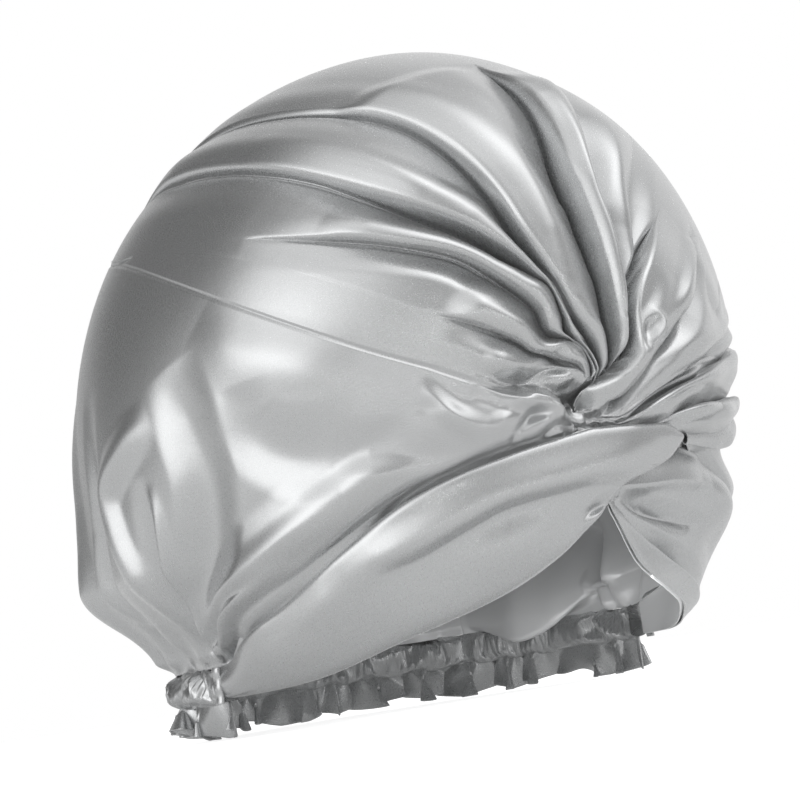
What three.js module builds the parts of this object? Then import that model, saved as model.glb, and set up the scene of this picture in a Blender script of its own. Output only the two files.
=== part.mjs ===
// Twist-front turban cap in satin: an outer crown and back, two front bands that cross
// in a twist at the forehead, a full lining, and an elastic hem with a frill.
// Millimetres, +Z up, the face opening towards -Y, the wearer's right at -X.
import * as THREE from 'three';

// Sizes of the filled cap
const halfWidth = 111;
const halfLength = 128;
const widestHeight = 104;
const crownRise = 121;
const bellyShift = 6;
const crownLeanShare = 0.13;
const bagDropShare = 1.63;

// The elastic hem, which runs from temple to temple round the back
const hemHalfWidth = 86;
const hemHalfLength = 100;
const hemShift = 9;
const hemEndAngle = 85;
const casingHeight = 12;
const casingJointAngle = 137;
const ruffleDrop = 12;
const tuckHeight = 34;
const bagDrop = (widestHeight - ruffleDrop) * bagDropShare;
const elasticThickness = 1;

// Cloth and sewing
const outerPly = 1.1;
const liningPly = 0.8;
const seamGap = 0.4;
const plyGap = 0.45;
const floorCut = 0.5;

// The twist at the forehead: its place, and how far the pleats stand and sink
const knotBearingAngle = -2.5;
const knotLevelAngle = -7;
const pleatDepth = 10;
const pleatWidth = 20;
const pleatWall = 3;
const pleatRound = 3.6;
const lapPleatDepth = 5;
const lapPleatWidth = 9;
const fanPuff = 3.4;
const underLap = 2;
const lapRise = 3;
const liningSink = 8;
const liningEase = 3.3;
const liningBillow = 8;
const liningSideSink = 4.4;

// Front bands
const bandRise = 1.2;
const bandTier = 2.4;
const crossingLift = 2.6;
const farBandSink = 3.2;
const facingPly = 0.8;

// Folds of the bag above the hem, and waves of the frill
const bagFoldDepth = 3;
const bagFoldReach = 62;
const foldHeight = 4;
const foldWidth = 12;
const bandPuff = 2.4;
const bandTuck = 3;
const bandTuckReach = 9;
const foldFootHeight = 22;
const ruffleWave = 3.4;
const ruffleScallop = 3;

// Rolled edge that stands out beside the twist, and the strips at the hem's ends
const rollHeight = 10.5;
const rollThickness = 6.6;
const rollWall = 1.2;
const rollStartAngle = 25;
const rollEndAngle = 48;
const rollGapAngle = 70;
const stripWidth = 5;
const stripPly = 0.9;

const rad = THREE.MathUtils.degToRad;
const deg = THREE.MathUtils.radToDeg;
const clamp = THREE.MathUtils.clamp;
const smooth = THREE.MathUtils.smoothstep;
const mix = THREE.MathUtils.lerp;

// Every surface follows a unit direction, whose bearing is 0 at the front and 90 at +X
function direction(bearing, level) {
  const b = rad(bearing);
  const l = rad(level);
  return new THREE.Vector3(Math.cos(l) * Math.sin(b), -Math.cos(l) * Math.cos(b), Math.sin(l));
}

function bearingOf(dir) {
  return deg(Math.atan2(dir.x, -dir.y));
}

function levelOf(dir) {
  return deg(Math.asin(clamp(dir.z, -1, 1)));
}

function levelAtHeight(height) {
  return deg(Math.asin(clamp((height - widestHeight) / bagDrop, -1, 1)));
}

// A point of the filled cap in a direction, moved out by off
function bodyPoint(dir, off) {
  const up = dir.z > 0;
  const height = widestHeight + dir.z * (up ? crownRise + off : bagDrop);
  const middle = bellyShift - crownLeanShare * (height - widestHeight);
  const point = new THREE.Vector3(
    dir.x * (halfWidth + off), middle + dir.y * (halfLength + off), height);
  const casingTop = ruffleDrop + casingHeight;
  const back = smooth(Math.abs(bearingOf(dir)), 62, hemEndAngle);
  const tuck = back * (1 - smooth(height, casingTop, casingTop + tuckHeight));
  return point.lerp(hemPoint(bearingOf(dir), height, off), tuck);
}

function hemPoint(bearing, height, off) {
  const b = rad(bearing);
  return new THREE.Vector3(
    (hemHalfWidth + off) * Math.sin(b), hemShift - (hemHalfLength + off) * Math.cos(b), height);
}

// Directions by their distance and bearing from the knot, in degrees
const knot = direction(knotBearingAngle, knotLevelAngle);
const knotUp = new THREE.Vector3(0, 0, 1).addScaledVector(knot, -knot.z).normalize();
const knotSide = new THREE.Vector3().crossVectors(knotUp, knot);

function fromKnot(distance, bearing) {
  const d = rad(distance);
  const b = rad(bearing);
  return knot.clone().multiplyScalar(Math.cos(d))
    .addScaledVector(knotUp, Math.sin(d) * Math.cos(b))
    .addScaledVector(knotSide, Math.sin(d) * Math.sin(b));
}

function knotPolar(dir) {
  const distance = deg(Math.acos(clamp(dir.dot(knot), -1, 1)));
  const bearing = deg(Math.atan2(dir.dot(knotSide), dir.dot(knotUp)));
  return { distance, bearing };
}

// A smooth line through stations, each a pair of place and value
function along(stations, place) {
  const last = stations.length - 1;
  if (place <= stations[0][0]) return stations[0][1];
  if (place >= stations[last][0]) return stations[last][1];
  let i = 0;
  while (stations[i + 1][0] < place) i += 1;
  const [x0, y0] = stations[i];
  const [x1, y1] = stations[i + 1];
  const slope = (a, b) => (b[1] - a[1]) / (b[0] - a[0]);
  const here = (x1 - x0);
  const t = (place - x0) / here;
  const m0 = i > 0 ? slope(stations[i - 1], stations[i + 1]) : slope(stations[i], stations[i + 1]);
  const m1 = i + 1 < last ? slope(stations[i], stations[i + 2]) : slope(stations[i], stations[i + 1]);
  const t2 = t * t;
  const t3 = t2 * t;
  return (2 * t3 - 3 * t2 + 1) * y0 + (t3 - 2 * t2 + t) * here * m0
    + (3 * t2 - 2 * t3) * y1 + (t3 - t2) * here * m1;
}

// Creases of the pleats: bearing from the knot at each distance, in degrees, how deep each is
// there, and on which side the cloth laps over it. The near fan lies on the crown.
const nearCreases = [
  { route: [[5, 36], [10, -23], [15, -27], [21, -33], [28, -38], [37, -46], [52, -54], [70, -58]],
    depthShares: [[6, 0.2], [10, 0.5], [25, 0.6], [36, 0.38], [50, 0.12], [62, 0]],
    over: 1,
    reachShare: 0.6 },
  { route: [[5, 49], [8, 0], [12, -10], [17, -14], [20, -19], [29, -29], [42, -38], [62, -43], [90, -46]],
    depthShares: [[6, 0.2], [10, 0.6], [22, 0.86], [38, 0.78], [55, 0.35], [72, 0]],
    over: 1,
    reachShare: 0.85 },
  { route: [[5, 58], [9, 12], [12, -4], [17, -11], [25, -16], [33, -17], [43, -19], [53, -22],
    [72, -30], [95, -36]],
    depthShares: [[7, 0.2], [12, 0.6], [24, 0.86], [36, 0.72], [52, 0.42], [78, 0]],
    over: 1,
    reachShare: 1 },
  { route: [[5, 70], [9, 50], [13, 32], [19, 20], [25, 14], [30, 11], [36, 8.6], [44, 8], [52, 7],
    [60, 5], [80, 2]],
    depthShares: [[7, 0.3], [12, 0.7], [24, 1], [38, 0.9], [50, 0.4], [64, 0]],
    over: 1,
    reachShare: 0.95 },
  { route: [[5, 80], [8, 66], [11, 54], [15, 39], [19, 30], [26, 22], [31, 18], [38, 17], [49, 17],
    [62, 18], [80, 19]],
    depthShares: [[8, 0.3], [13, 0.55], [24, 0.7], [38, 0.55], [48, 0.2], [58, 0]],
    over: -1,
    reachShare: 0.7 },
];
const lapCreases = [
  { route: [[4, 90], [11, 73], [19, 65], [26, 63], [34, 59], [42, 56]], end: 42, depthShare: 1 },
  { route: [[6, 108], [12, 88], [21, 83], [38, 82]], end: 40, depthShare: 0.9 },
  { route: [[8, 110], [19, 91], [31, 87.5], [43, 86]], end: 44, depthShare: 0.8 },
];

// Bell that is 1 in its middle and 0 from a share of 1 on
function bell(share) {
  const away = 1 - Math.min(1, Math.abs(share));
  return away * away * (3 - 2 * away);
}

// Height of the near fan: each crease has a steep wall under the cloth that laps over it and a
// long slope on its other side, and the cloth between two creases stands round
function pleats(distance, bearing) {
  const radius = Math.sin(rad(distance)) * halfLength;
  const places = nearCreases.map(({ route }) => along(route, distance));
  const gaps = places.slice(1).map((place, i) => Math.max(0, rad(place - places[i]) * radius));
  const depths = nearCreases.map(({ depthShares }, i) => {
    const room = Math.min(gaps[i - 1] ?? pleatWidth, gaps[i] ?? pleatWidth);
    return Math.min(pleatDepth * along(depthShares, distance), room) * smooth(distance, 3.5, 6.5);
  });
  let height = 0;
  nearCreases.forEach(({ over, reachShare }, i) => {
    const roomLeft = gaps[i - 1] ?? pleatWidth;
    const roomRight = gaps[i] ?? pleatWidth;
    const aside = rad(bearing - places[i]) * radius * over;
    const wall = Math.min(pleatWall, 0.3 * (over > 0 ? roomRight : roomLeft));
    const slope = Math.min(pleatWidth * reachShare, 0.95 * (over > 0 ? roomLeft : roomRight));
    height -= depths[i] * (aside > 0 ? 1 - smooth(aside, 0, wall) : bell(aside / slope));
  });
  gaps.forEach((gap, i) => {
    const share = clamp(rad(bearing - places[i]) * radius / Math.max(gap, seamGap), 0, 1);
    const live = smooth(Math.min(depths[i], depths[i + 1]), 0, pleatDepth / 4);
    height += Math.min(0.2 * gap, pleatRound) * live * Math.sqrt(4 * share * (1 - share));
  });
  return height;
}

// Cross section of a lap crease: a sharp bottom that rises in a quarter round on both sides
function creaseProfile(share) {
  const away = 1 - Math.min(1, Math.abs(share));
  return 1 - Math.sqrt(1 - away * away);
}

function creaseDepth(creases, width, distance, bearing) {
  let depth = 0;
  for (const { route, end, depthShare } of creases) {
    if (distance < route[0][0] || distance > end) continue;
    const aside = rad(bearing - along(route, distance)) * Math.sin(rad(distance)) * halfLength;
    const rim = smooth(distance, route[0][0] - 3, route[0][0] + 3);
    const fade = rim * (1 - smooth(distance, end * 0.35, end));
    const spread = width * mix(0.45, 1.2, smooth(distance, 6, 50));
    depth = Math.max(depth, depthShare * fade * creaseProfile(aside / spread));
  }
  return depth;
}

// A fold along a route of bearings and levels: riseShare of the height of folds, and reachShare
// of their width. It dies out at both ends of its route.
function foldLine(route, riseShare, reachShare) {
  const line = [];
  const steps = 6;
  for (let i = 0; i < route.length - 1; i += 1) {
    const from = direction(...route[i]);
    const to = direction(...route[i + 1]);
    for (let k = 0; k < steps; k += 1) line.push(from.clone().lerp(to, k / steps).normalize());
  }
  line.push(direction(...route[route.length - 1]));
  return { line, riseShare, reachShare };
}

// Height above the floor of the filled body in a direction
function heightAt(dir) {
  return widestHeight + (dir.z > 0 ? crownRise : bagDrop) * dir.z;
}

function foldRelief(folds, dir) {
  let height = 0;
  for (const { line, riseShare, reachShare } of folds) {
    let nearest = 0;
    line.forEach((place, i) => {
      if (place.dot(dir) > line[nearest].dot(dir)) nearest = i;
    });
    const away = Math.acos(clamp(line[nearest].dot(dir), -1, 1)) * halfWidth;
    const share = nearest / (line.length - 1);
    const swell = smooth(share, 0, 0.25) * (1 - smooth(share, 0.7, 1));
    height += foldHeight * riseShare * swell * bell(away / (foldWidth * reachShare));
  }
  return height;
}

// Middle and reach of the side where these folds lie, in degrees round
const nearFoldsBearing = -86;
const nearFoldsReach = 36;

// Folds that rise from the near end of the hem and run along the near band
const bagFoldLines = [
  foldLine([[-89, -38], [-92, -26], [-91, -14], [-87, -5], [-78, 4]], 0.5, 0.8),
  foldLine([[-86, -38], [-84, -27], [-81.5, -20], [-81, -12], [-80, 0]], -1.1, 0.6),
  foldLine([[-86, -38], [-83, -26], [-78.5, -18], [-76, -10], [-77, 8]], 0.9, 0.5),
  foldLine([[-84, -34], [-76, -24], [-70, -17], [-68, -9], [-71, -2], [-74, 10]], -1.3, 1.1),
  foldLine([[-84, -34], [-79, -27], [-73, -22], [-66, -18], [-59, -12], [-57, 4]], 1.1, 0.9),
  foldLine([[-58, -6], [-50, -7], [-42, -6], [-36, -4]], -0.6, 1.2),
  foldLine([[-66, 12], [-58, 4], [-48, -2], [-38, -2], [-30, -6]], 0.5, 1.2),
  foldLine([[-100, -34], [-104, -18], [-104, -4], [-100, 12]], -1, 0.9),
  foldLine([[-112, -34], [-116, -20], [-118, -5], [-116, 14]], 1, 1),
  foldLine([[82, -34], [88, -20], [91, -8], [92, 6], [90, 24]], 0.1, 1.3),
  foldLine([[104, -36], [112, -20], [114, -4], [110, 14]], 0.7, 1),
];
const farBandFoldLines = [
  foldLine([[4, -16], [14, -15.6], [24, -15], [44, -16]], -0.8, 0.6),
  foldLine([[6, -17.4], [15.5, -19.4], [24, -21.2], [38, -24]], -0.8, 0.5),
  foldLine([[7, -18.4], [12, -21.8], [22, -26.8], [34, -30.4], [56, -34]], 0.6, 0.5),
  foldLine([[26, -17], [42, -20], [60, -26]], 1, 1.1),
  foldLine([[20, -12.5], [34, -14.5], [46, -15.6], [64, -20]], -0.8, 0.5),
];
const liningFoldLines = [
  foldLine([[136, -34], [129, -32.6], [120, -31.4], [110, -30.4], [98, -28]], 1, 1.1),
];

// Where the lap lies on the crown: its two edges as bearings from the knot
const lapLeftAngles = [[1, 29], [5, 51], [10, 55], [13, 43], [17, 36], [23, 36], [35, 41], [46, 45],
  [58, 52]];
const lapRightAngles = [[1, 150], [4, 126], [8, 111], [17, 101], [24, 98], [36, 95], [58, 89]];
const lapStartAngle = 1.4;
const lapEndAngle = 46;

function lapCover(distance, bearing) {
  const inside = smooth(bearing, along(lapLeftAngles, distance) - 12, along(lapLeftAngles, distance) - 5)
    * (1 - smooth(bearing, along(lapRightAngles, distance) + 6, along(lapRightAngles, distance) + 16));
  return inside * (1 - smooth(distance, lapEndAngle + 4, lapEndAngle + 16));
}

// How far the outer crown and back stand off the filled body
function outerRelief(dir) {
  const { distance, bearing } = knotPolar(dir);
  const fan = fanPuff * smooth(distance, 3, 16) * (1 - smooth(distance, 34, 92)) * smooth(bearing, -78, -45);
  const casingTop = ruffleDrop + casingHeight;
  const foot = smooth(heightAt(dir), casingTop, casingTop + foldFootHeight);
  const open = fan + pleats(distance, bearing) + foot * foldRelief(bagFoldLines, dir);
  return mix(open, -underLap, lapCover(distance, bearing)) + bagFolds(dir);
}

function bagFolds(dir) {
  const height = widestHeight + bagDrop * Math.min(0, dir.z);
  const low = 1 - smooth(height, ruffleDrop + casingHeight, ruffleDrop + casingHeight + bagFoldReach);
  const start = smooth(height, ruffleDrop + casingHeight, ruffleDrop + casingHeight + bagFoldDepth * 4);
  const bearing = bearingOf(dir);
  const back = smooth(Math.abs(bearing), 72, 92);
  const wave = 1.2 + Math.cos(rad(bearing * 11)) + 0.5 * Math.cos(rad(bearing * 5 + 40));
  return bagFoldDepth * low * start * back * wave / 2;
}

// Closed thin sheet between an outer and an inner grid of points
function sheetGeometry(outer, inner) {
  const rows = outer.length;
  const columns = outer[0].length;
  const points = [...outer.flat(), ...inner.flat()];
  const top = (r, c) => r * columns + c;
  const low = (r, c) => rows * columns + r * columns + c;
  const faces = [];
  const quad = (a, b, c, d) => faces.push([a, b, c], [a, c, d]);
  for (let r = 0; r < rows - 1; r += 1) {
    for (let c = 0; c < columns - 1; c += 1) {
      quad(top(r, c), top(r, c + 1), top(r + 1, c + 1), top(r + 1, c));
      quad(low(r, c), low(r + 1, c), low(r + 1, c + 1), low(r, c + 1));
    }
  }
  for (let c = 0; c < columns - 1; c += 1) {
    quad(top(0, c), low(0, c), low(0, c + 1), top(0, c + 1));
    quad(top(rows - 1, c), top(rows - 1, c + 1), low(rows - 1, c + 1), low(rows - 1, c));
  }
  for (let r = 0; r < rows - 1; r += 1) {
    quad(top(r, 0), top(r + 1, 0), low(r + 1, 0), low(r, 0));
    quad(top(r, columns - 1), low(r, columns - 1), low(r + 1, columns - 1), top(r + 1, columns - 1));
  }
  return closedGeometry(points, faces);
}

// Closed bar: one section of points per station, with flat ends
function barGeometry(sections) {
  const count = sections.length;
  const sides = sections[0].length;
  const points = sections.flat();
  const at = (s, k) => s * sides + ((k + sides) % sides);
  const faces = [];
  for (let s = 0; s < count - 1; s += 1) {
    for (let k = 0; k < sides; k += 1) {
      faces.push([at(s, k), at(s, k + 1), at(s + 1, k + 1)], [at(s, k), at(s + 1, k + 1), at(s + 1, k)]);
    }
  }
  return { points, faces, at, count };
}

// A mesh with its faces turned out, whichever way round its grid was laid
function closedGeometry(points, faces) {
  let volume = 0;
  for (const [a, b, c] of faces) {
    volume += points[a].dot(new THREE.Vector3().crossVectors(points[b], points[c]));
  }
  const turned = volume < 0 ? faces.map(([a, b, c]) => [a, c, b]) : faces;
  const geometry = new THREE.BufferGeometry();
  geometry.setAttribute('position', new THREE.Float32BufferAttribute(points.flatMap((p) => p.toArray()), 3));
  geometry.setIndex(turned.flat());
  geometry.computeVertexNormals();
  return geometry;
}

function clothMesh(name, geometry, colour, roughness) {
  const material = new THREE.MeshStandardMaterial({
    color: colour, roughness, metalness: 0, side: THREE.FrontSide });
  const mesh = new THREE.Mesh(geometry, material);
  mesh.name = name;
  return mesh;
}

const satin = 0xc4c5c6;
const satinShade = 0xb2b3b5;
const liningSatin = 0xa6a7aa;
const elasticWhite = 0xe6e5e1;
const satinRoughness = 0.38;

// Sheet along a grid of directions, from its outer face in by its ply
function sheetAlong(grid, offset, ply) {
  const outer = grid.map((row) => row.map((dir) => bodyPoint(dir, offset(dir))));
  const inner = grid.map((row) => row.map((dir) => bodyPoint(dir, offset(dir) - ply)));
  return sheetGeometry(outer, inner);
}

// The crown's edge: up the near side from the knot, across the back, down the far side
const crownRows = 15;
const crownStartAngle = 1.4;
const crownSideAngle = 108;
const backSeamAngles = [[100, 30], [108, 32], [125, 35], [145, 37], [180, 38]];

function seamBearing(distance) {
  return 80 - 0.2 * distance;
}

// Distance from the knot, over the top, at which a bearing meets the seam across the back
function crownReach(side) {
  const bearing = side * seamBearing(crownSideAngle);
  let near = crownSideAngle - 20;
  let far = 175;
  for (let step = 0; step < 30; step += 1) {
    const middle = (near + far) / 2;
    const dir = fromKnot(middle, bearing);
    const above = Math.abs(bearingOf(dir)) < 100
      || levelOf(dir) > along(backSeamAngles, Math.abs(bearingOf(dir)));
    if (above) near = middle;
    else far = middle;
  }
  return near;
}

function crownDistance(share, side) {
  const reach = Math.abs(side) === 1 ? crownSideAngle : crownReach(side);
  return crownStartAngle + (reach - crownStartAngle) * share;
}

// Sides of the crown's columns in a row, from -1 to 1. Each crease and the lap's edge has a
// column of its own, with columns between them at shares of the gap.
const gapShares = [0, 0.22, 0.5, 0.78];
const farShares = [0, 0.1, 0.2, 0.3, 0.4, 0.5, 0.6, 0.7, 0.8, 0.9];
const leastGapShare = 0.02;

function crownSides(row) {
  const share = (row / crownRows) ** 1.35;
  const edge = seamBearing(crownStartAngle + (crownSideAngle - crownStartAngle) * share);
  const routes = [...nearCreases.map(({ route }) => route), lapLeftAngles];
  const lines = routes.map((route) => {
    let side = 0;
    for (let step = 0; step < 8; step += 1) {
      side = clamp(along(route, crownDistance(share, side)) / edge, -0.97, 0.97);
    }
    return side;
  });
  lines.unshift(-1);
  lines.push(1);
  for (let k = 1; k < lines.length; k += 1) lines[k] = Math.max(lines[k], lines[k - 1] + leastGapShare);
  for (let k = lines.length - 2; k > 0; k -= 1) lines[k] = Math.min(lines[k], lines[k + 1] - leastGapShare);
  lines[lines.length - 1] = 1;
  const sides = [];
  for (let k = 0; k < lines.length - 1; k += 1) {
    const shares = k === lines.length - 2 ? farShares : gapShares;
    for (const t of shares) sides.push(mix(lines[k], lines[k + 1], t));
  }
  return [...sides, 1];
}

const crownGrid = Array.from({ length: crownRows + 1 }, (_, row) => crownSides(row));
const crownColumns = crownGrid[0].length - 1;

function crownDirection(row, column) {
  const share = (row / crownRows) ** 1.35;
  const side = crownGrid[row][column];
  const edge = crownStartAngle + (crownSideAngle - crownStartAngle) * share;
  return fromKnot(crownDistance(share, side), side * seamBearing(edge));
}

function seamLine() {
  const line = [];
  for (let row = 0; row <= crownRows; row += 1) line.push(crownDirection(row, 0));
  for (let column = 1; column < crownColumns; column += 1) line.push(crownDirection(crownRows, column));
  for (let row = crownRows; row >= 0; row -= 1) line.push(crownDirection(row, crownColumns));
  return line;
}

// Directions of a line moved square to it, along the surface, by a length
function besideLine(line, amount) {
  return line.map((dir, i) => {
    const before = line[Math.max(0, i - 1)];
    const after = line[Math.min(line.length - 1, i + 1)];
    const forward = new THREE.Vector3().subVectors(after, before);
    const aside = new THREE.Vector3().crossVectors(dir, forward).normalize();
    return dir.clone().addScaledVector(aside, amount / halfWidth).normalize();
  });
}

function crownPanel() {
  const inset = besideLine(seamLine(), -seamGap / 2);
  const grid = [];
  for (let row = 0; row <= crownRows; row += 1) {
    const line = [];
    for (let column = 0; column <= crownColumns; column += 1) line.push(crownDirection(row, column));
    line[0] = inset[row];
    line[crownColumns] = inset[inset.length - 1 - row];
    grid.push(line);
  }
  for (let column = 1; column < crownColumns; column += 1) {
    grid[crownRows][column] = inset[crownRows + column];
  }
  return clothMesh('crown_panel', sheetAlong(grid, outerRelief, outerPly), satin, satinRoughness);
}

// Where the bands end under and past the crossing, as bearings
const nearBandEndAngle = 20;
const farBandStartAngle = 4;

// Edges of the front bands: level in degrees at each bearing
const nearBandTopAngles = [[-85, -32], [-78, -31], [-65, -27.5], [-57, -25], [-44, -19.5], [-34, -15.5],
  [-24, -13], [-12, -11], [-4, -10], [0, -9.6], [10, -9.8], [17, -10], [20, -11.2]];
const nearBandLowAngles = [[-85, -37.2], [-79, -37.2], [-63, -37], [-51, -36], [-36, -33], [-17, -29],
  [-6, -25], [2, -20], [5, -18], [8, -16.3], [13, -15], [17, -14], [20, -12.4]];
const farBandTopAngles = [[3, -11], [12, -11], [24, -12], [34, -15], [44, -19.5], [57, -25], [65, -27.5],
  [78, -31], [85, -32]];
const farBandLowAngles = [[3, -16.5], [5, -18.2], [9, -22], [16, -27], [28, -31], [39, -33.5], [51, -36],
  [63, -37], [79, -37.2], [85, -37.2]];

function backBottomLevel(bearing) {
  const hemLevel = levelAtHeight(ruffleDrop + casingHeight + seamGap);
  const bandTop = bearing < nearBandEndAngle ? nearBandTopAngles : farBandTopAngles;
  const bandLevel = along(bandTop, bearing);
  const overBand = bandLevel + deg(seamGap / bagDrop);
  return Math.abs(bearing) > hemEndAngle ? hemLevel : overBand;
}

// The seam's places with one more between each pair on the near side, where the folds are close
const foldRows = [9, 15];

function backTopLine() {
  const line = besideLine(seamLine(), seamGap / 2);
  return line.flatMap((dir, i) => {
    if (i < foldRows[0] || i >= foldRows[1]) return [dir];
    return [dir, dir.clone().add(line[i + 1]).normalize()];
  });
}

// Middle and reach of the roll beside the knot, in degrees round, where the back lies under it
const rollBearing = 22;
const rollReach = 34;

// The back puffs out over the front bands, and tucks in where it meets them
function overBands(dir, top) {
  const bearing = bearingOf(dir);
  const apart = smooth(Math.abs(bearing - rollBearing), rollReach / 2, rollReach);
  const front = apart * (1 - smooth(Math.abs(bearing), hemEndAngle - 7, hemEndAngle));
  const above = rad(levelOf(dir) - backBottomLevel(bearing)) * halfWidth;
  const below = rad(levelOf(top) - levelOf(dir)) * halfWidth;
  const puff = bandPuff * Math.sin(Math.PI * clamp(above / (foldWidth * 1.7), 0, 1)) ** 2;
  const tuck = bandTuck * (1 - smooth(above, 0, bandTuckReach));
  return (puff - tuck) * front * smooth(below, 0, foldWidth);
}

function backPanel() {
  const rows = 7;
  const top = backTopLine();
  const outer = [];
  const inner = [];
  for (let row = 0; row <= rows; row += 1) {
    const line = top.map((dir) => {
      const bearing = bearingOf(dir);
      const level = mix(levelOf(dir), backBottomLevel(bearing), row / rows);
      return row === 0 ? dir : direction(bearing, level);
    });
    const heights = line.map((dir, i) => outerRelief(dir) + overBands(dir, top[i]));
    outer.push(line.map((dir, i) => bodyPoint(dir, heights[i])));
    inner.push(line.map((dir, i) => bodyPoint(dir, heights[i] - outerPly)));
  }
  return clothMesh('back_panel', sheetGeometry(outer, inner), satin, satinRoughness);
}

// The far tail of the twist, laid over the crown and spread in pleats from the knot
function twistLap() {
  const rows = 15;
  const columns = 16;
  const lift = (dir) => {
    const { distance, bearing } = knotPolar(dir);
    const share = (bearing - along(lapLeftAngles, distance))
      / (along(lapRightAngles, distance) - along(lapLeftAngles, distance));
    const round = Math.sqrt(Math.max(0, 4 * share * (1 - share)));
    const body = lapRise * round * smooth(distance, 2, 14) * (1 - smooth(distance, 28, lapEndAngle));
    const pleat = lapPleatDepth * creaseDepth(lapCreases, lapPleatWidth, distance, bearing);
    return body + Math.max(0, lapPleatDepth * 0.8 * smooth(distance, 3, 12)
      * (1 - smooth(distance, 26, lapEndAngle)) * round - pleat);
  };
  const grid = [];
  for (let row = 0; row <= rows; row += 1) {
    const line = [];
    for (let column = 0; column <= columns; column += 1) {
      const aside = (2 * column) / columns - 1;
      const reach = lapEndAngle * mix(0.72, 1, Math.sqrt(1 - aside * aside));
      const distance = mix(lapStartAngle, reach, (row / rows) ** 1.3);
      const left = along(lapLeftAngles, distance);
      const bearing = mix(left, along(lapRightAngles, distance), column / columns);
      line.push(fromKnot(distance, bearing));
    }
    grid.push(line);
  }
  const seat = plyGap + outerPly - underLap + seamGap;
  return clothMesh('twist_lap', sheetAlong(grid, (dir) => seat + lift(dir), outerPly), satin, satinRoughness);
}

// A band between two edge lines, in columns of equal bearing
function bandGrid(topEdge, lowEdge, from, to, columns, rows) {
  const grid = [];
  for (let row = 0; row <= rows; row += 1) {
    const line = [];
    for (let column = 0; column <= columns; column += 1) {
      const bearing = mix(from, to, column / columns);
      line.push(direction(bearing, mix(along(topEdge, bearing), along(lowEdge, bearing), row / rows)));
    }
    grid.push(line);
  }
  return grid;
}

function bandShare(topEdge, lowEdge, dir) {
  const bearing = bearingOf(dir);
  const top = along(topEdge, bearing);
  return clamp((top - levelOf(dir)) / (top - along(lowEdge, bearing)), 0, 1);
}

// The near band has an upper tier that laps over the lower one, and lifts where it crosses
function nearBandOffset(dir) {
  const bearing = bearingOf(dir);
  const share = bandShare(nearBandTopAngles, nearBandLowAngles, dir);
  const tierShare = along([[-60, 0.5], [-30, 0.42], [-10, 0.5], [4, 0.85], [20, 1.2]], bearing);
  const tier = bandTier * (1 - smooth(share, tierShare, tierShare + 0.12)) * smooth(bearing, -60, -30);
  const crossing = crossingLift * smooth(bearing, -8, 6);
  const round = Math.sin(Math.PI * clamp(share / Math.max(tierShare, 0.2), 0, 1));
  return tier * (0.4 + 0.6 * round) + crossing + bandRise * Math.sin(Math.PI * share);
}

function nearBand() {
  const grid = bandGrid(nearBandTopAngles, nearBandLowAngles, -hemEndAngle + 1, nearBandEndAngle, 34, 6);
  return clothMesh('near_front_band', sheetAlong(grid, nearBandOffset, outerPly), satin, satinRoughness);
}

function farBandOffset(dir) {
  const share = bandShare(farBandTopAngles, farBandLowAngles, dir);
  const clear = smooth(bearingOf(dir), 14, 30);
  const bare = smooth(bearingOf(dir), nearBandEndAngle, nearBandEndAngle + 10);
  const relief = bare * foldRelief(farBandFoldLines, dir);
  return -farBandSink * (1 - clear) + bandRise * Math.sin(Math.PI * share) * clear + relief;
}

function farBand() {
  const grid = bandGrid(farBandTopAngles, farBandLowAngles, farBandStartAngle, hemEndAngle - 1, 24, 6);
  return clothMesh('far_front_band', sheetAlong(grid, farBandOffset, outerPly), satinShade, satinRoughness);
}

// Facings: the inner ply of each band, one ply gap inside it
function facing(name, topEdge, lowEdge, from, to, columns, offset) {
  const grid = bandGrid(topEdge, lowEdge, from, to, columns, 3);
  const inside = (dir) => Math.min(0, offset(dir)) - outerPly - plyGap;
  return clothMesh(name, sheetAlong(grid, inside, facingPly), liningSatin, satinRoughness);
}

function nearFacing() {
  const to = farBandStartAngle - 2;
  return facing('near_band_facing', nearBandTopAngles, nearBandLowAngles, -hemEndAngle + 2, to, 22, () => 0);
}

function farFacing() {
  const from = farBandStartAngle + 2;
  const to = hemEndAngle - 2;
  const offset = (dir) => -farBandSink * mix(1, 0.15, smooth(bearingOf(dir), 34, 42));
  return facing('far_band_facing', farBandTopAngles, farBandLowAngles, from, to, 20, offset);
}

// Lining: a plain dome inside the pleats, which comes out to the casing at the hem
function liningOffset(dir) {
  const { distance } = knotPolar(dir);
  const nearSide = bell((bearingOf(dir) - nearFoldsBearing) / nearFoldsReach);
  const fanSide = (1 - smooth(distance, 20, 75)) * mix(0.2, 1, smooth(levelOf(dir), -24, -10));
  const sink = Math.max(liningSink * fanSide, liningSideSink * nearSide);
  const casingTop = ruffleDrop + casingHeight;
  const free = smooth(heightAt(dir), casingTop, casingTop + tuckHeight / 3);
  const wall = outerPly + plyGap + elasticThickness + plyGap;
  const billow = (liningBillow / foldHeight) * foldRelief(liningFoldLines, dir);
  return -mix(wall, outerPly + plyGap + liningEase + sink, free) - billow * free;
}

function crownLining() {
  const rows = 11;
  const columns = 24;
  const grid = [];
  for (let row = 0; row <= rows; row += 1) {
    const line = [];
    for (let column = 0; column <= columns; column += 1) {
      const side = (2 * column) / columns - 1;
      const share = row / rows;
      const edge = crownStartAngle + (crownSideAngle - crownStartAngle) * share;
      const distance = crownStartAngle + (crownReach(side) - crownStartAngle) * share;
      line.push(fromKnot(distance, side * (seamBearing(edge) - deg(seamGap / halfWidth))));
    }
    grid.push(line);
  }
  return clothMesh('crown_lining', sheetAlong(grid, liningOffset, liningPly), liningSatin, satinRoughness);
}

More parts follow.
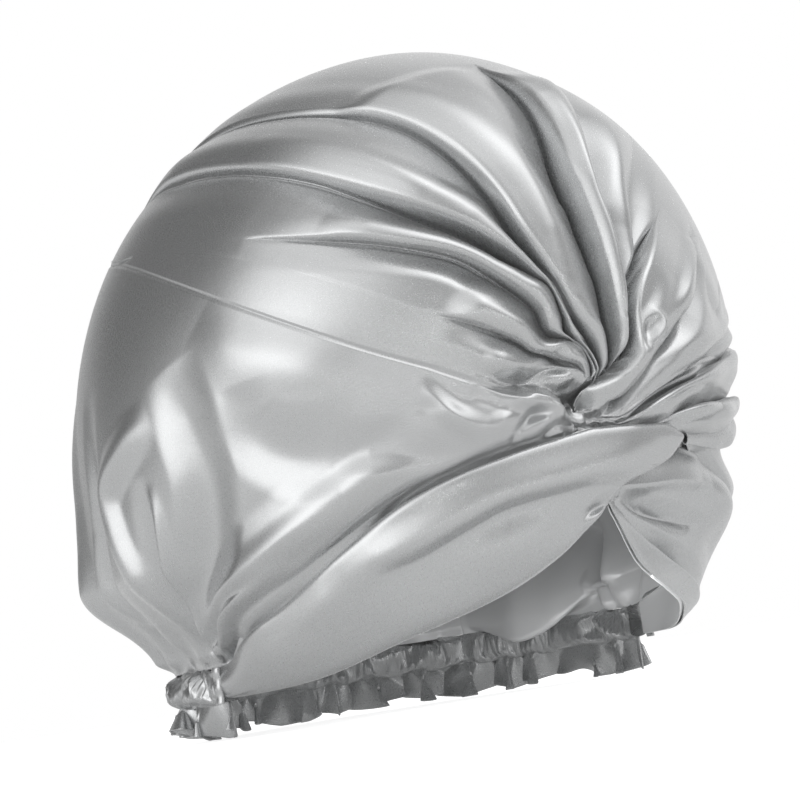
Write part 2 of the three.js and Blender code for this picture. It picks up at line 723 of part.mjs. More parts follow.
// Level of the seam at a bearing, found by walking along its side and then its back
function seamLevel(bearing) {
  const side = Math.abs(bearing);
  if (side > backSeamAngles[1][0]) return along(backSeamAngles, side);
  let near = crownStartAngle;
  let far = crownSideAngle;
  for (let step = 0; step < 30; step += 1) {
    const middle = (near + far) / 2;
    if (Math.abs(bearingOf(fromKnot(middle, Math.sign(bearing) * seamBearing(middle)))) < side) near = middle;
    else far = middle;
  }
  return levelOf(fromKnot(near, Math.sign(bearing) * seamBearing(near)));
}

function backLining(name, from, to) {
  const rows = 7;
  const columns = Math.round(Math.abs(to - from) / 8);
  const grid = [];
  for (let row = 0; row <= rows; row += 1) {
    const line = [];
    for (let column = 0; column <= columns; column += 1) {
      const bearing = mix(from, to, column / columns);
      const wrapped = bearing < -180 ? bearing + 360 : bearing;
      const top = seamLevel(wrapped) - deg(2 * seamGap / halfWidth);
      line.push(direction(wrapped, mix(top, backBottomLevel(wrapped), row / rows)));
    }
    grid.push(line);
  }
  return clothMesh(name, sheetAlong(grid, liningOffset, liningPly), liningSatin, satinRoughness);
}

// Bars along the hem: sections are pairs of offset and height
function hemBar(name, section, from, to, stations, colour, roughness) {
  const rows = [];
  for (let s = 0; s <= stations; s += 1) {
    const bearing = mix(from, to, s / stations);
    rows.push(section.map(([off, height]) => hemPoint(bearing, height, off)));
  }
  const { points, faces, at, count } = barGeometry(rows);
  const outline = section.map(([x, y]) => new THREE.Vector2(x, y));
  const reversed = THREE.ShapeUtils.isClockWise(outline);
  for (const cap of THREE.ShapeUtils.triangulateShape(outline, [])) {
    const [a, b, c] = reversed ? [...cap].reverse() : cap;
    faces.push([at(0, a), at(0, c), at(0, b)]);
    faces.push([at(count - 1, a), at(count - 1, b), at(count - 1, c)]);
  }
  return clothMesh(name, closedGeometry(points, faces), colour, roughness);
}

const hemStations = 48;
const hemFrom = -hemEndAngle;
const hemTo = hemEndAngle - 360;

function hemCasing() {
  const bottom = ruffleDrop;
  const top = ruffleDrop + casingHeight;
  const slot = elasticThickness + 2 * plyGap;
  const outerWall = -outerPly;
  const innerWall = outerWall - slot;
  const section = [[0, top], [0, bottom], [innerWall - outerPly, bottom], [innerWall - outerPly, top],
    [innerWall, top], [innerWall, bottom + outerPly], [outerWall, bottom + outerPly], [outerWall, top]];
  return hemBar('hem_casing', section, hemFrom, hemTo, hemStations, satin, satinRoughness);
}

function hemElastic() {
  const outer = -outerPly - plyGap;
  const inner = outer - elasticThickness;
  const low = ruffleDrop + outerPly + plyGap;
  const high = ruffleDrop + casingHeight - plyGap;
  const section = [[outer, high], [outer, low], [inner, low], [inner, high]];
  return hemBar('hem_elastic', section, hemFrom - 1, hemTo + 1, hemStations, elasticWhite, 0.8);
}

function hemRuffle() {
  const waves = 19;
  const perWave = 6;
  const columns = waves * perWave;
  const top = ruffleDrop - seamGap;
  const middle = outerPly + (elasticThickness + 2 * plyGap) / 2;
  const heights = [0, 0.45, 1];
  const outer = [];
  const inner = [];
  for (const drop of heights) {
    const out = [];
    const into = [];
    for (let column = 0; column <= columns; column += 1) {
      const turn = (column / columns) * waves * 2 * Math.PI;
      const bearing = mix(hemFrom, hemTo, column / columns);
      const wave = ruffleWave * Math.sin(turn) * (0.12 + 0.88 * drop) * (1 + 0.25 * Math.sin(turn * 0.31));
      const hang = ruffleScallop * 0.5 * (1 + Math.sin(turn * 0.27 + 1)) - floorCut;
      const height = mix(top, Math.max(0, hang), drop);
      out.push(hemPoint(bearing, height, wave - middle + outerPly / 2));
      into.push(hemPoint(bearing, height, wave - middle - outerPly / 2));
    }
    outer.push(out);
    inner.push(into);
  }
  return clothMesh('hem_ruffle', sheetGeometry(outer, inner), satin, satinRoughness);
}

// Strip folded over the joint between a band's end and the casing's end
function endStrip(name, side) {
  const rows = 4;
  const columns = 2;
  const grid = [];
  for (let row = 0; row <= rows; row += 1) {
    const line = [];
    for (let column = 0; column <= columns; column += 1) {
      const reach = deg(stripWidth / hemHalfLength);
      const bearing = side * (hemEndAngle - 0.5 + reach * (column / columns - 0.5));
      const top = levelAtHeight(ruffleDrop + casingHeight);
      const level = mix(top, levelAtHeight(ruffleDrop + seamGap), row / rows);
      line.push(direction(bearing, level));
    }
    grid.push(line);
  }
  const over = () => bandRise + plyGap + stripPly;
  return clothMesh(name, sheetAlong(grid, over, stripPly), satin, satinRoughness);
}

// Edge of the lap rolled back on itself, an open curl that widens away from the knot
function twistRoll() {
  const stations = 12;
  const sides = 9;
  const seat = plyGap - underLap;
  const rows = [];
  for (let s = 0; s <= stations; s += 1) {
    const share = s / stations;
    const distance = mix(rollStartAngle, rollEndAngle, share);
    const bearing = along(lapRightAngles, distance) + 5;
    const size = mix(0.45, 1, smooth(share, 0, 0.7)) * (1 - 0.35 * smooth(share, 0.8, 1));
    const tall = (size * rollHeight) / 2;
    const thick = (size * rollThickness) / 2;
    const centre = fromKnot(distance, bearing);
    const middle = bodyPoint(centre, seat + thick);
    const axis = bodyPoint(fromKnot(distance + 1, bearing), seat + thick).sub(middle).normalize();
    const out = bodyPoint(centre, seat + 2 * thick).sub(middle).normalize();
    const across = new THREE.Vector3().crossVectors(axis, out).normalize();
    const section = [];
    for (let k = 0; k < 2 * (sides + 1); k += 1) {
      const outside = k <= sides;
      const step = outside ? k : 2 * sides + 1 - k;
      const wall = outside ? 0 : rollWall;
      const angle = rad(200 + rollGapAngle / 2 + ((360 - rollGapAngle) * step) / sides);
      section.push(middle.clone()
        .addScaledVector(across, (tall - wall) * Math.cos(angle))
        .addScaledVector(out, (thick - wall) * Math.sin(angle)));
    }
    rows.push(section);
  }
  const { points, faces, at, count } = barGeometry(rows);
  for (let k = 0; k < sides; k += 1) {
    const mate = 2 * sides + 1 - k;
    faces.push([at(0, k), at(0, mate - 1), at(0, k + 1)], [at(0, k), at(0, mate), at(0, mate - 1)]);
    faces.push([at(count - 1, k), at(count - 1, k + 1), at(count - 1, mate - 1)],
      [at(count - 1, k), at(count - 1, mate - 1), at(count - 1, mate)]);
  }
  return clothMesh('twist_roll', closedGeometry(points, faces), satin, satinRoughness);
}

const cap = new THREE.Group();
cap.add(
  crownPanel(),
  backPanel(),
  twistLap(),
  twistRoll(),
  nearBand(),
  farBand(),
  nearFacing(),
  farFacing(),
  crownLining(),
  backLining('back_lining_near', -8, casingJointAngle - 360),
  backLining('back_lining_far', casingJointAngle - 0.3, 8),
  hemCasing(),
  hemElastic(),
  hemRuffle(),
  endStrip('near_end_strip', -1),
  endStrip('far_end_strip', 1),
);

// Origin at the middle of the box on the floor plane
const box = new THREE.Box3().setFromObject(cap);
cap.position.set(-(box.min.x + box.max.x) / 2, -(box.min.y + box.max.y) / 2, -box.min.z);

export default cap;
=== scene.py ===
"""Turban cap in silver satin: a filled cap with a twisted front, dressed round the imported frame.

Every cloth follows one filled body in the frame's own place. Folds are routes in places about the
knot of the twist, in degrees: how far from it, and on which bearing.
"""

import math

import bpy
import numpy as np
from mathutils import Matrix, Vector

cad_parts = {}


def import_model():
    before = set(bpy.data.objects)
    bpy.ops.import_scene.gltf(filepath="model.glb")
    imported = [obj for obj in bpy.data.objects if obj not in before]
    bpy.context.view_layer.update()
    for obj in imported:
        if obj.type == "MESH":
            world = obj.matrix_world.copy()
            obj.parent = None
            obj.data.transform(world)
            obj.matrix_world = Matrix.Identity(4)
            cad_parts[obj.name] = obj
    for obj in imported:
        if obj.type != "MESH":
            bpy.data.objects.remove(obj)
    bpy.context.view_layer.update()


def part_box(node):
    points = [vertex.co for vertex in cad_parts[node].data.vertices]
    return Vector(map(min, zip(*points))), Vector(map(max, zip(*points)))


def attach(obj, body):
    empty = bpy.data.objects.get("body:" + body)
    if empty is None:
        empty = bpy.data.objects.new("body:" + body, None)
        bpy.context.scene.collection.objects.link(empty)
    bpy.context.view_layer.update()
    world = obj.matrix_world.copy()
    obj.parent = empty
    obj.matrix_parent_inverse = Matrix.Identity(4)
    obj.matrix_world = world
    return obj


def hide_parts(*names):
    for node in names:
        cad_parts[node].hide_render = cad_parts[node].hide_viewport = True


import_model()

MM = 0.001

# Filled body, with the sizes of the part's source
HALF_WIDTH = 111 * MM
HALF_LENGTH = 128 * MM
WIDEST_HEIGHT = 104 * MM
CROWN_RISE = 121 * MM
BELLY_SHIFT = 6 * MM
CROWN_LEAN = 0.13

# The hem, read from the frame
casing_low, casing_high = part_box("hem_casing")
CASING_LOW = casing_low.z
CASING_TOP = casing_high.z
HEM_HALF_WIDTH = (casing_high.x - casing_low.x) / 2
HEM_HALF_LENGTH = 100 * MM
HEM_SHIFT = 9 * MM
HEM_END = 85
HEM_WALL = 4.1 * MM
TUCK_HEIGHT = 34 * MM
BAG_STRETCH = 1.63
BAG_DROP = (WIDEST_HEIGHT - CASING_LOW) * BAG_STRETCH
CASING_JOINT = 137
SHIFT = np.array([(casing_high.x + casing_low.x) / 2, casing_high.y - HEM_SHIFT - HEM_HALF_LENGTH, 0.0])

# Cloth
PLY = 0.5 * MM
KNOT_BEARING = -2.5
KNOT_LEVEL = -7
CROWN_START = 0.4
CROWN_SIDE = 108
BACK_SEAM = [(100, 30), (108, 32), (125, 35), (145, 37), (180, 38)]
FAR_AWAY = 1.0
SLIVER = 1e-6
TINY = 1e-12


def smooth(x, low, high):
    t = np.clip((np.asarray(x, float) - low) / (high - low), 0, 1)
    return t * t * (3 - 2 * t)


def mix(a, b, t):
    return a + (b - a) * t


def bell(share):
    """Falls from 1 to 0 over a share from 0 to 1, flat at both."""
    share = np.clip(share, 0, 1)
    return (1 - share) ** 2 * (1 + 2 * share)


def unit(vectors):
    return vectors / (np.linalg.norm(vectors, axis=-1, keepdims=True) + TINY)


def arc(angle, radius=HALF_WIDTH):
    """Length on the body of an angle in degrees."""
    return np.radians(angle) * radius


def direction(bearing, level):
    b, l = np.radians(bearing), np.radians(level)
    return np.stack([np.cos(l) * np.sin(b), -np.cos(l) * np.cos(b), np.sin(l) + 0 * b], -1)


def bearing_of(dirs):
    return np.degrees(np.arctan2(dirs[..., 0], -dirs[..., 1]))


def around(turn):
    """Bearings from -180 to 180."""
    return (turn + 180) % 360 - 180


def level_of(dirs):
    return np.degrees(np.arcsin(np.clip(dirs[..., 2], -1, 1)))


def level_at(height):
    return math.degrees(math.asin((height - WIDEST_HEIGHT) / BAG_DROP))


def step_lengths(points, axis=0):
    return np.linalg.norm(np.diff(points, axis=axis), axis=-1)


def running(steps):
    """Places along a line whose steps have these lengths."""
    return np.concatenate([[0], np.cumsum(steps)])


def along(stations, place):
    """A smooth line through stations, each a pair of place and value."""
    x, y = np.array(stations, float).T
    slope = np.gradient(y, x)
    slope[1:-1] = (y[2:] - y[:-2]) / (x[2:] - x[:-2])
    place = np.clip(place, x[0], x[-1])
    i = np.clip(np.searchsorted(x, place, side="right") - 1, 0, len(x) - 2)
    step = x[i + 1] - x[i]
    t = (place - x[i]) / step
    return ((2 * t**3 - 3 * t**2 + 1) * y[i] + (t**3 - 2 * t**2 + t) * step * slope[i]
            + (3 * t**2 - 2 * t**3) * y[i + 1] + (t**3 - t**2) * step * slope[i + 1])


def hem_points(bearing, height, off):
    b = np.radians(bearing)
    return np.stack([(HEM_HALF_WIDTH + off) * np.sin(b), HEM_SHIFT - (HEM_HALF_LENGTH + off) * np.cos(b),
                     height + 0 * b], -1)


def height_of(dirs, off=0):
    """Height of the body in unit directions, moved out by off above its widest place."""
    z = dirs[..., 2]
    return WIDEST_HEIGHT + z * np.where(z > 0, CROWN_RISE + off, BAG_DROP)


def body_points(dirs, off):
    """Points of the filled body in unit directions, moved out by off."""
    height = height_of(dirs, off)
    middle = BELLY_SHIFT - CROWN_LEAN * (height - WIDEST_HEIGHT)
    x, y = dirs[..., 0] * (HALF_WIDTH + off), dirs[..., 1] * (HALF_LENGTH + off)
    free = np.stack([x, middle + y, height], -1)
    bearing = bearing_of(dirs)
    tuck = smooth(np.abs(bearing), 62, HEM_END) * (1 - smooth(height, CASING_TOP, CASING_TOP + TUCK_HEIGHT))
    return mix(free, hem_points(bearing, height, off), tuck[..., None])


# Places about the knot
knot = direction(KNOT_BEARING, KNOT_LEVEL)
knot_up = unit(np.array([0, 0, 1]) - knot * knot[2])
knot_side = np.cross(knot_up, knot)


def from_knot(distance, bearing):
    d, b = np.radians(distance)[..., None], np.radians(bearing)[..., None]
    return knot * np.cos(d) + np.sin(d) * (knot_up * np.cos(b) + knot_side * np.sin(b))


def knot_polar(dirs):
    distance = np.degrees(np.arccos(np.clip(dirs @ knot, -1, 1)))
    return distance, np.degrees(np.arctan2(dirs @ knot_side, dirs @ knot_up))


def about_knot(*places):
    """Bearings and levels of places given as distance from the knot and bearing on it."""
    dirs = from_knot(*np.array(places, float).T)
    return list(zip(bearing_of(dirs), level_of(dirs)))


def radius_at(distance):
    """Radius of the circle of places at one distance from the knot."""
    return HALF_LENGTH * np.sin(np.radians(distance))


class Fold:
    """A ridge, or a crease where its rise is negative, along a route of bearings and levels.

    rise gives millimetres by the share of the route, or in its middle only, and is nothing at an end
    that it leaves out. wide is the reach in millimetres on the left and right of it, and sharp how much
    of the bell comes to an edge. Where lap is set, the left side folds over the right one by that much.
    """

    stations = 90
    spare_reach = 1.6
    lap_reach = 0.35

    def __init__(self, route, rise, wide, sharp=0.0, lap=0.0):
        corners = direction(*np.array(route, float).T)
        steps = running(step_lengths(corners))
        fine = np.linspace(0, steps[-1], self.stations)
        line = np.stack([along(np.stack([steps, corners[:, k]], 1), fine) for k in range(3)], -1)
        self.line = unit(line)
        self.forward = unit(np.gradient(self.line, axis=0))
        self.share = fine / steps[-1]
        self.step = fine[1]
        self.rise = sorted({0: 0, 1: 0, **({0.5: rise} if np.isscalar(rise) else rise)}.items())
        self.wide, self.sharp, self.lap = wide, sharp, lap

    def apply(self, dirs, height, move):
        """Adds the fold to the height and the sideways move of a cloth."""
        flat = dirs.reshape(-1, 3)
        near = flat @ self.line.T
        best = near.argmax(1)
        reach = max(self.wide) * self.spare_reach * MM / HALF_WIDTH + self.step
        chosen = np.nonzero(near[np.arange(len(flat)), best] > math.cos(reach))[0]
        best = best[chosen]
        off = flat[chosen] - self.line[best]
        forward = self.forward[best]
        ahead = (off * forward).sum(-1)
        left = np.cross(flat[chosen], forward)
        aside = (off * left).sum(-1) * HALF_WIDTH
        share = np.clip(self.share[best] + ahead / self.stations / self.step, 0, 1)
        past = np.maximum(np.abs(ahead) - self.step, 0) * HALF_WIDTH
        rise = along(self.rise, share) * MM
        reach = np.where(aside > 0, self.wide[0], self.wide[1]) * MM
        far = np.clip(np.hypot(aside, past) / reach, 0, 1)
        height.reshape(-1)[chosen] += rise * mix(bell(far), (1 - far) ** 2, self.sharp)
        if self.lap:
            over = self.lap / 2 * np.abs(rise) * np.exp(-((aside / (self.lap_reach * reach)) ** 2))
            move.reshape(-1, 3)[chosen] -= left * over[:, None]


def rolling(dirs, size, seed, count=7):
    """Soft seeded swells over the body, about size long and from -1 to 1."""
    full_turn, evened = 6.28, 1.4
    r = np.random.default_rng(seed)
    total = 0
    for _ in range(count):
        axis = r.normal(size=3)
        axis *= 2 * math.pi * HALF_WIDTH / size * r.uniform(0.6, 1.3) / np.linalg.norm(axis)
        total = total + np.sin(dirs @ axis + r.uniform(0, full_turn))
    return total / math.sqrt(count) / evened


# Pleats of the fans: the route of each, its depth in millimetres along it, and which side laps over it
DISTANCES = np.arange(0, 121, 0.5)
DEEPER = 1.45
PLEAT_ROLL = 1.5 * MM
LEAST_DEPTH = 0.2 * MM
FULL_DEPTH = 2 * MM
SLIT_DEPTH = 0.7 * MM
SLIT_WIDTH = 0.9 * MM
TUBE_RISE = 3.4 * MM
TUBE_DEPTH = 2.5 * MM


class Pleat:
    """A crease of a fan. over is 1 or -1 where the cloth on that side laps over it, and 0 for a plain one."""

    def __init__(self, route, depth, over, reach):
        self.bearing = along(route, DISTANCES)
        self.depth = np.interp(DISTANCES, *np.array(depth, float).T) * MM * smooth(DISTANCES, 3.5, 6.5)
        self.over = over
        self.reach = reach * MM


def settle(pleats):
    """Keeps each pleat's roll and reach inside the gaps to its neighbours."""
    radius = radius_at(DISTANCES) + SLIVER
    for pleat in pleats:
        gaps = {side: np.full(len(DISTANCES), FAR_AWAY) for side in (1, -1)}
        for other in pleats:
            if other is pleat:
                continue
            gap = arc(other.bearing - pleat.bearing, radius)
            live = other.depth > LEAST_DEPTH
            for side in (1, -1):
                here = live & (gap * side > 0)
                gaps[side][here] = np.minimum(gaps[side][here], np.abs(gap[here]))
        side = pleat.over or 1
        pleat.roll = np.minimum(PLEAT_ROLL, 0.4 * gaps[side])
        pleat.under = np.minimum(pleat.reach, 0.95 * gaps[-side])
        pleat.crest = np.minimum(pleat.reach, 0.9 * gaps[side])
        pleat.depth = np.minimum(DEEPER * pleat.depth, 1.1 * np.minimum(gaps[1], gaps[-1]))
    return pleats


def folded(pleats, distance, bearing):
    """Height of the pleats at places about the knot, and how far the cloth there moves aside."""
    radius = radius_at(distance)
    height, aside = np.zeros(distance.shape), np.zeros(distance.shape)
    for pleat in pleats:
        lines = (pleat.depth, pleat.roll, pleat.under, pleat.crest, pleat.bearing)
        depth, roll, under, crest, middle = (np.interp(distance, DISTANCES, line) for line in lines)
        off = arc(bearing - middle, radius)
        if pleat.over == 0:
            height -= depth * bell(np.abs(off) / under)
            continue
        v = off * pleat.over
        turn = math.pi * np.clip(v / roll, 0, 1)
        fall = (1 + np.cos(turn)) / 2
        lap = np.minimum(0.42 * depth, roll)
        slit = 0.25 * depth + SLIT_DEPTH * smooth(depth, 0, FULL_DEPTH)
        height -= slit * np.exp(-(off / SLIT_WIDTH) ** 2)
        rolled = lap * fall - lap * np.sin(turn) + 0.6 * roll * (1 - fall)
        moved = np.where(v < roll, rolled - v, -0.4 * roll * (1 - smooth(v, roll, 3 * roll)))
        height -= depth * np.where(v > 0, fall, bell(-v / under))
        height += 0.22 * depth * np.where(v > 0, np.sin(math.pi * np.clip(v / crest, 0, 1)) ** 2, 0)
        aside += pleat.over * np.where(v > 0, moved, lap * np.exp(v / (0.5 * roll + SLIVER)))
    return height, aside


near_fan = settle([
    Pleat([(4, -13), (9, -61), (13, -75), (20, -78)], [(3, 2), (8, 3), (14, 2), (19, 0)], 0, 6),
    Pleat([(4, 20), (6, -20), (10, -46), (13, -50), (22, -56), (30, -60)],
          [(3, 2), (9, 3.4), (16, 3), (27, 0)], 1, 9),
    Pleat([(5, 36), (10, -23), (15, -27), (21, -33), (28, -38), (37, -46), (52, -54), (70, -58)],
          [(3, 3), (10, 4), (25, 4.2), (36, 2.6), (50, 0.8), (62, 0)], 1, 12),
    Pleat([(5, 49), (8, 0), (12, -10), (17, -14), (20, -19), (29, -29), (42, -38), (62, -43), (90, -46)],
          [(3, 3), (10, 4.5), (22, 6), (38, 5.4), (55, 2.6), (72, 1.4), (92, 1.2), (110, 0)], 1, 17),
    Pleat([(5, 58), (9, 12), (12, -4), (17, -11), (25, -16), (33, -17), (43, -19), (53, -22),
           (72, -30), (95, -36)],
          [(5, 2), (12, 4), (24, 6), (36, 5), (52, 3), (72, 1.6), (92, 1.4), (110, 0)], 1, 24),
    Pleat([(5, 70), (9, 50), (13, 32), (19, 20), (25, 14), (30, 11), (36, 8.6), (44, 8), (52, 7),
           (60, 5), (80, 2)],
          [(6, 3), (12, 5), (24, 7.5), (40, 6.5), (54, 3), (66, 0)], 1, 22),
    Pleat([(5, 80), (8, 66), (11, 54), (15, 39), (19, 30), (26, 22), (31, 18), (38, 17), (49, 17),
           (62, 18), (80, 19)],
          [(7, 3), (13, 4), (24, 5), (40, 4.4), (52, 2), (64, 0)], -1, 14),
    Pleat([(11, 60), (15, 45), (24, 36), (36, 32), (55, 36), (70, 40)],
          [(12, 0), (20, 1.6), (36, 2), (50, 1), (60, 0)], 0, 12),
])
far_fan = settle([
    Pleat([(4, 90), (11, 73), (19, 65), (26, 63), (34, 59), (42, 56), (60, 52)],
          [(4, 1.5), (12, 3), (26, 3.4), (36, 2), (46, 0)], -1, 9),
    Pleat([(6, 106), (12, 88), (21, 82), (38, 80), (60, 78)],
          [(5, 1.5), (14, 3), (30, 3.4), (44, 2), (58, 0)], -1, 6),
    Pleat([(7, 110), (13, 92), (24, 86), (43, 84.5), (60, 84)],
          [(6, 1.5), (14, 2.6), (30, 3), (46, 1.6), (60, 0)], 1, 5),
    Pleat([(8, 116), (19, 97), (35, 93), (60, 92)], [(7, 1.5), (16, 3), (30, 4), (44, 3), (64, 0)], 1, 8),
    Pleat([(10, 130), (20, 112), (35, 103), (60, 100), (80, 99)],
          [(20, 0), (34, 3), (50, 5), (66, 4), (84, 0)], 0, 14),
])
LAP_LEFT = [(1, 29), (5, 51), (10, 55), (13, 43), (17, 36), (23, 36), (35, 41), (46, 45), (58, 50), (70, 52)]
LAP_RIGHT = [(1, 150), (4, 126), (8, 111), (17, 101), (24, 98), (36, 95), (58, 89), (70, 88)]
LAP_END = 54


def tubes(pleats, distance, bearing):
    """Round of the cloth between neighbouring pleats, fuller on the side that laps over."""
    total = np.zeros(distance.shape)
    for left, right in zip(pleats[:-1], pleats[1:]):
        a, b = (np.interp(distance, DISTANCES, pleat.bearing) for pleat in (left, right))
        gap = np.maximum(arc(b - a, radius_at(distance)), SLIVER)
        share = np.clip((bearing - a) / np.maximum(b - a, 0.01), 0, 1)
        share = share ** (0.62 if left.over > 0 else 1.6 if right.over < 0 else 1)
        live = np.minimum(*(np.interp(distance, DISTANCES, pleat.depth) for pleat in (left, right)))
        tall = np.minimum(0.2 * gap, TUBE_RISE) * smooth(live, 0, TUBE_DEPTH)
        total += tall * np.sqrt(4 * share * (1 - share))
    return total


def seam_bearing(distance):
    return 80 - 0.2 * distance


def lap_inside(distance, bearing):
    """How far a place lies inside the lap, in metres; negative outside."""
    radius = radius_at(distance)
    left = arc(bearing - along(LAP_LEFT, distance), radius)
    right = arc(along(LAP_RIGHT, distance) - bearing, radius)
    ahead = arc(LAP_END - distance, HALF_LENGTH)
    return np.minimum(np.minimum(left, right), ahead)


def fan_height(distance, bearing):
    """Pleats of the outer cloth and the sideways move, in metres, at places about the knot."""
    fan_puff = 3.4 * MM
    near_height, near_aside = folded(near_fan, distance, bearing)
    near_height = near_height + tubes(near_fan, distance, bearing)
    far_height, far_aside = folded(far_fan, distance, bearing)
    far_height = far_height + 0.6 * tubes(far_fan, distance, bearing)
    left = along(LAP_LEFT, distance)
    far = smooth(bearing, left - 6, left + 4)
    puff = fan_puff * smooth(distance, 3, 16) * (1 - smooth(distance, 34, 92)) * smooth(bearing, -78, -45)
    b = np.radians(bearing)[..., None]
    across = knot_side * np.cos(b) - knot_up * np.sin(b)
    return puff + mix(near_height, far_height, far), mix(near_aside, far_aside, far)[..., None] * across


def under_lap(distance, bearing):
    """How far the crown and back sink where the lap lies on them, and into the knot itself."""
    sink, slope, knot_sink = 3 * MM, 9 * MM, 7 * MM
    step, step_start, step_end = 3.6 * MM, -2.4 * MM, 1 * MM
    inside = lap_inside(distance, bearing)
    under = sink * smooth(inside, 0, slope) + step * smooth(inside, step_start, step_end)
    return under * (1 - smooth(distance, 24, 35)) + knot_sink * (1 - smooth(distance, 0.8, 4.6))


def bag_height(dirs):
    """Gathers of the bag that rise out of the casing, worked out in millimetres."""
    lean_height, spread_height, start_height, start_gap = 60, 20, 5, 2
    bearing = bearing_of(dirs)
    rise = np.clip((np.minimum(height_of(dirs), WIDEST_HEIGHT) - CASING_TOP) / MM, 0, None)
    total = np.zeros(bearing.shape)
    r = np.random.default_rng(5)
    place = start_gap - HEM_END
    while place > HEM_END - 358:
        reach, width, depth = r.uniform(22, 74), r.uniform(1.6, 3.4), r.uniform(1.2, 3.6)
        lean = r.uniform(-7, 7)
        gap = around(bearing - place) - lean * rise / lean_height
        profile = np.exp(-(gap / width / (1 + rise / spread_height)) ** 2)
        total += depth * profile * smooth(rise, 0, start_height) * (1 - smooth(rise, 0.25 * reach, reach))
        place -= r.uniform(5.5, 10)
    side = np.abs(bearing)
    return total * MM * smooth(side, 74, 92) * mix(1, 1.7, smooth(side, 98, 120))


# Folds that rise from the near end of the hem and run along the near band
bag_folds = [
    Fold([(-84, -31), (-83.7, -27.3), (-86.5, -19.9), (-90, -12.8), (-91, -6.1), (-84.6, -1.8), (-77.1, 1.4)],
         {0: 1.5, 0.2: 3.6, 0.5: 4.4, 0.8: 3.4}, (9, 8)),
    Fold([(-84, -31), (-83.8, -28.1), (-80.9, -21.8), (-80.7, -16.4), (-80.8, -11.2), (-81.1, -6)],
         {0: -2, 0.3: -5, 0.6: -4.6}, (8, 4), 0.4),
    Fold([(-83.1, -29), (-80.7, -23.3), (-78.6, -16.6), (-78.2, -11.5), (-79, -7)],
         {0: 1.5, 0.3: 3, 0.7: 2.4}, (3.4, 4.4), 0.3),
    Fold([(-80.1, -28.5), (-72.2, -20), (-68.3, -14), (-67.4, -7.8), (-69.2, -1.5), (-73, 8)],
         {0: -1, 0.2: -4, 0.5: -5.2, 0.8: -3.4}, (13, 15)),
    Fold([(-77.4, -27.9), (-65.2, -22), (-53, -17), (-42.1, -14)], {0: 1, 0.3: 3, 0.7: 2.6}, (12, 6)),
    Fold([(-84, -29.6), (-77, -27), (-71, -24.6), (-65, -22.9), (-58, -21)],
         {0: -1, 0.3: -3, 0.75: -2.6}, (3.6, 2.6), 0.3),
    Fold([(-83, -30.4), (-76, -28), (-70, -25.6), (-62, -22.9), (-52, -19.8)],
         {0: 1, 0.3: 2.4, 0.75: 2}, (3, 3)),
    Fold([(-81, -31.4), (-74, -28.8), (-67.4, -26.2), (-60, -23.8), (-54, -22), (-45, -18.6),
          (-37, -15.4), (-28, -12.4)],
         {0: -1, 0.2: -3, 0.7: -3}, (6, 3), 0.6),
    Fold([(-58, 3), (-57.4, -3), (-53, -6.4), (-45.6, -7.9), (-38, -7)], {0.3: -2.4, 0.7: -2.2}, (13, 11)),
    Fold([(-44, -7.5), (-33, -9.3), (-25, -9.8), (-18, -9.8)], {0.4: -2.4, 0.8: -2}, (9, 6)),
    Fold([(-29, -1.6), (-26.8, -3.6), (-23.9, -6), (-20.1, -8)], {0.5: 2.4, 1: 0.6}, (4, 5), 0.3),
    Fold([(-66, 14), (-58, 8), (-48, 4), (-38, 2)], {0.3: 1.4, 0.7: 1.4}, (14, 14)),
    Fold([(-92, -30), (-99, -26.4), (-107, -19), (-106, -10)], {0: 0.5, 0.3: 2.4, 0.7: 2}, (5, 7)),
    Fold([(-100, -30), (-103, -18), (-100, -4), (-98, 10)], {0: -2, 0.4: -4}, (9, 10)),
    Fold([(-112, -31), (-116, -20), (-118, -5), (-116, 10)], {0: 2, 0.4: 4}, (12, 12)),
]
# The seam's fold beside the knot, and the crumpled corner under it
knot_folds = [
    Fold([(-21, -0.8), (-16, -2.6), (-9, -3.9), (-4.6, -5.6), (-2, -6.4)], {0.3: -2.4, 1: -4}, (4.4, 2), 0.6),
    Fold([(-20, -2.8), (-15.6, -4.4), (-9, -5.7), (-4.4, -7.7), (-0.5, -9.4)],
         {0: 0.5, 0.3: 3, 0.8: 3, 1: 1}, (2.4, 4)),
    Fold([(-8, -5.2), (-5.7, -4.6), (-3.4, -4.2)], {0.5: -1.6, 1: -2}, (1.8, 1.8), 0.4),
    Fold([(-14.6, -9.6), (-11.5, -7.3), (-7.6, -6.9)], {0: -1, 0.5: -2.2}, (2.4, 2.4), 0.2),
    Fold([(-11.6, -9.6), (-8.6, -7.9), (-5, -7.9)], {0: 0.5, 0.5: 1.6}, (2.4, 2.4)),
    Fold([(-9, -9.6), (-6.5, -8.7), (-3.4, -8.9)], {0: -1, 0.5: -1.8, 1: -0.5}, (2, 2), 0.3),
    Fold([(-19, -8.6), (-16.4, -7.4), (-13.4, -6.4)], 1.6, (3.4, 4)),
]
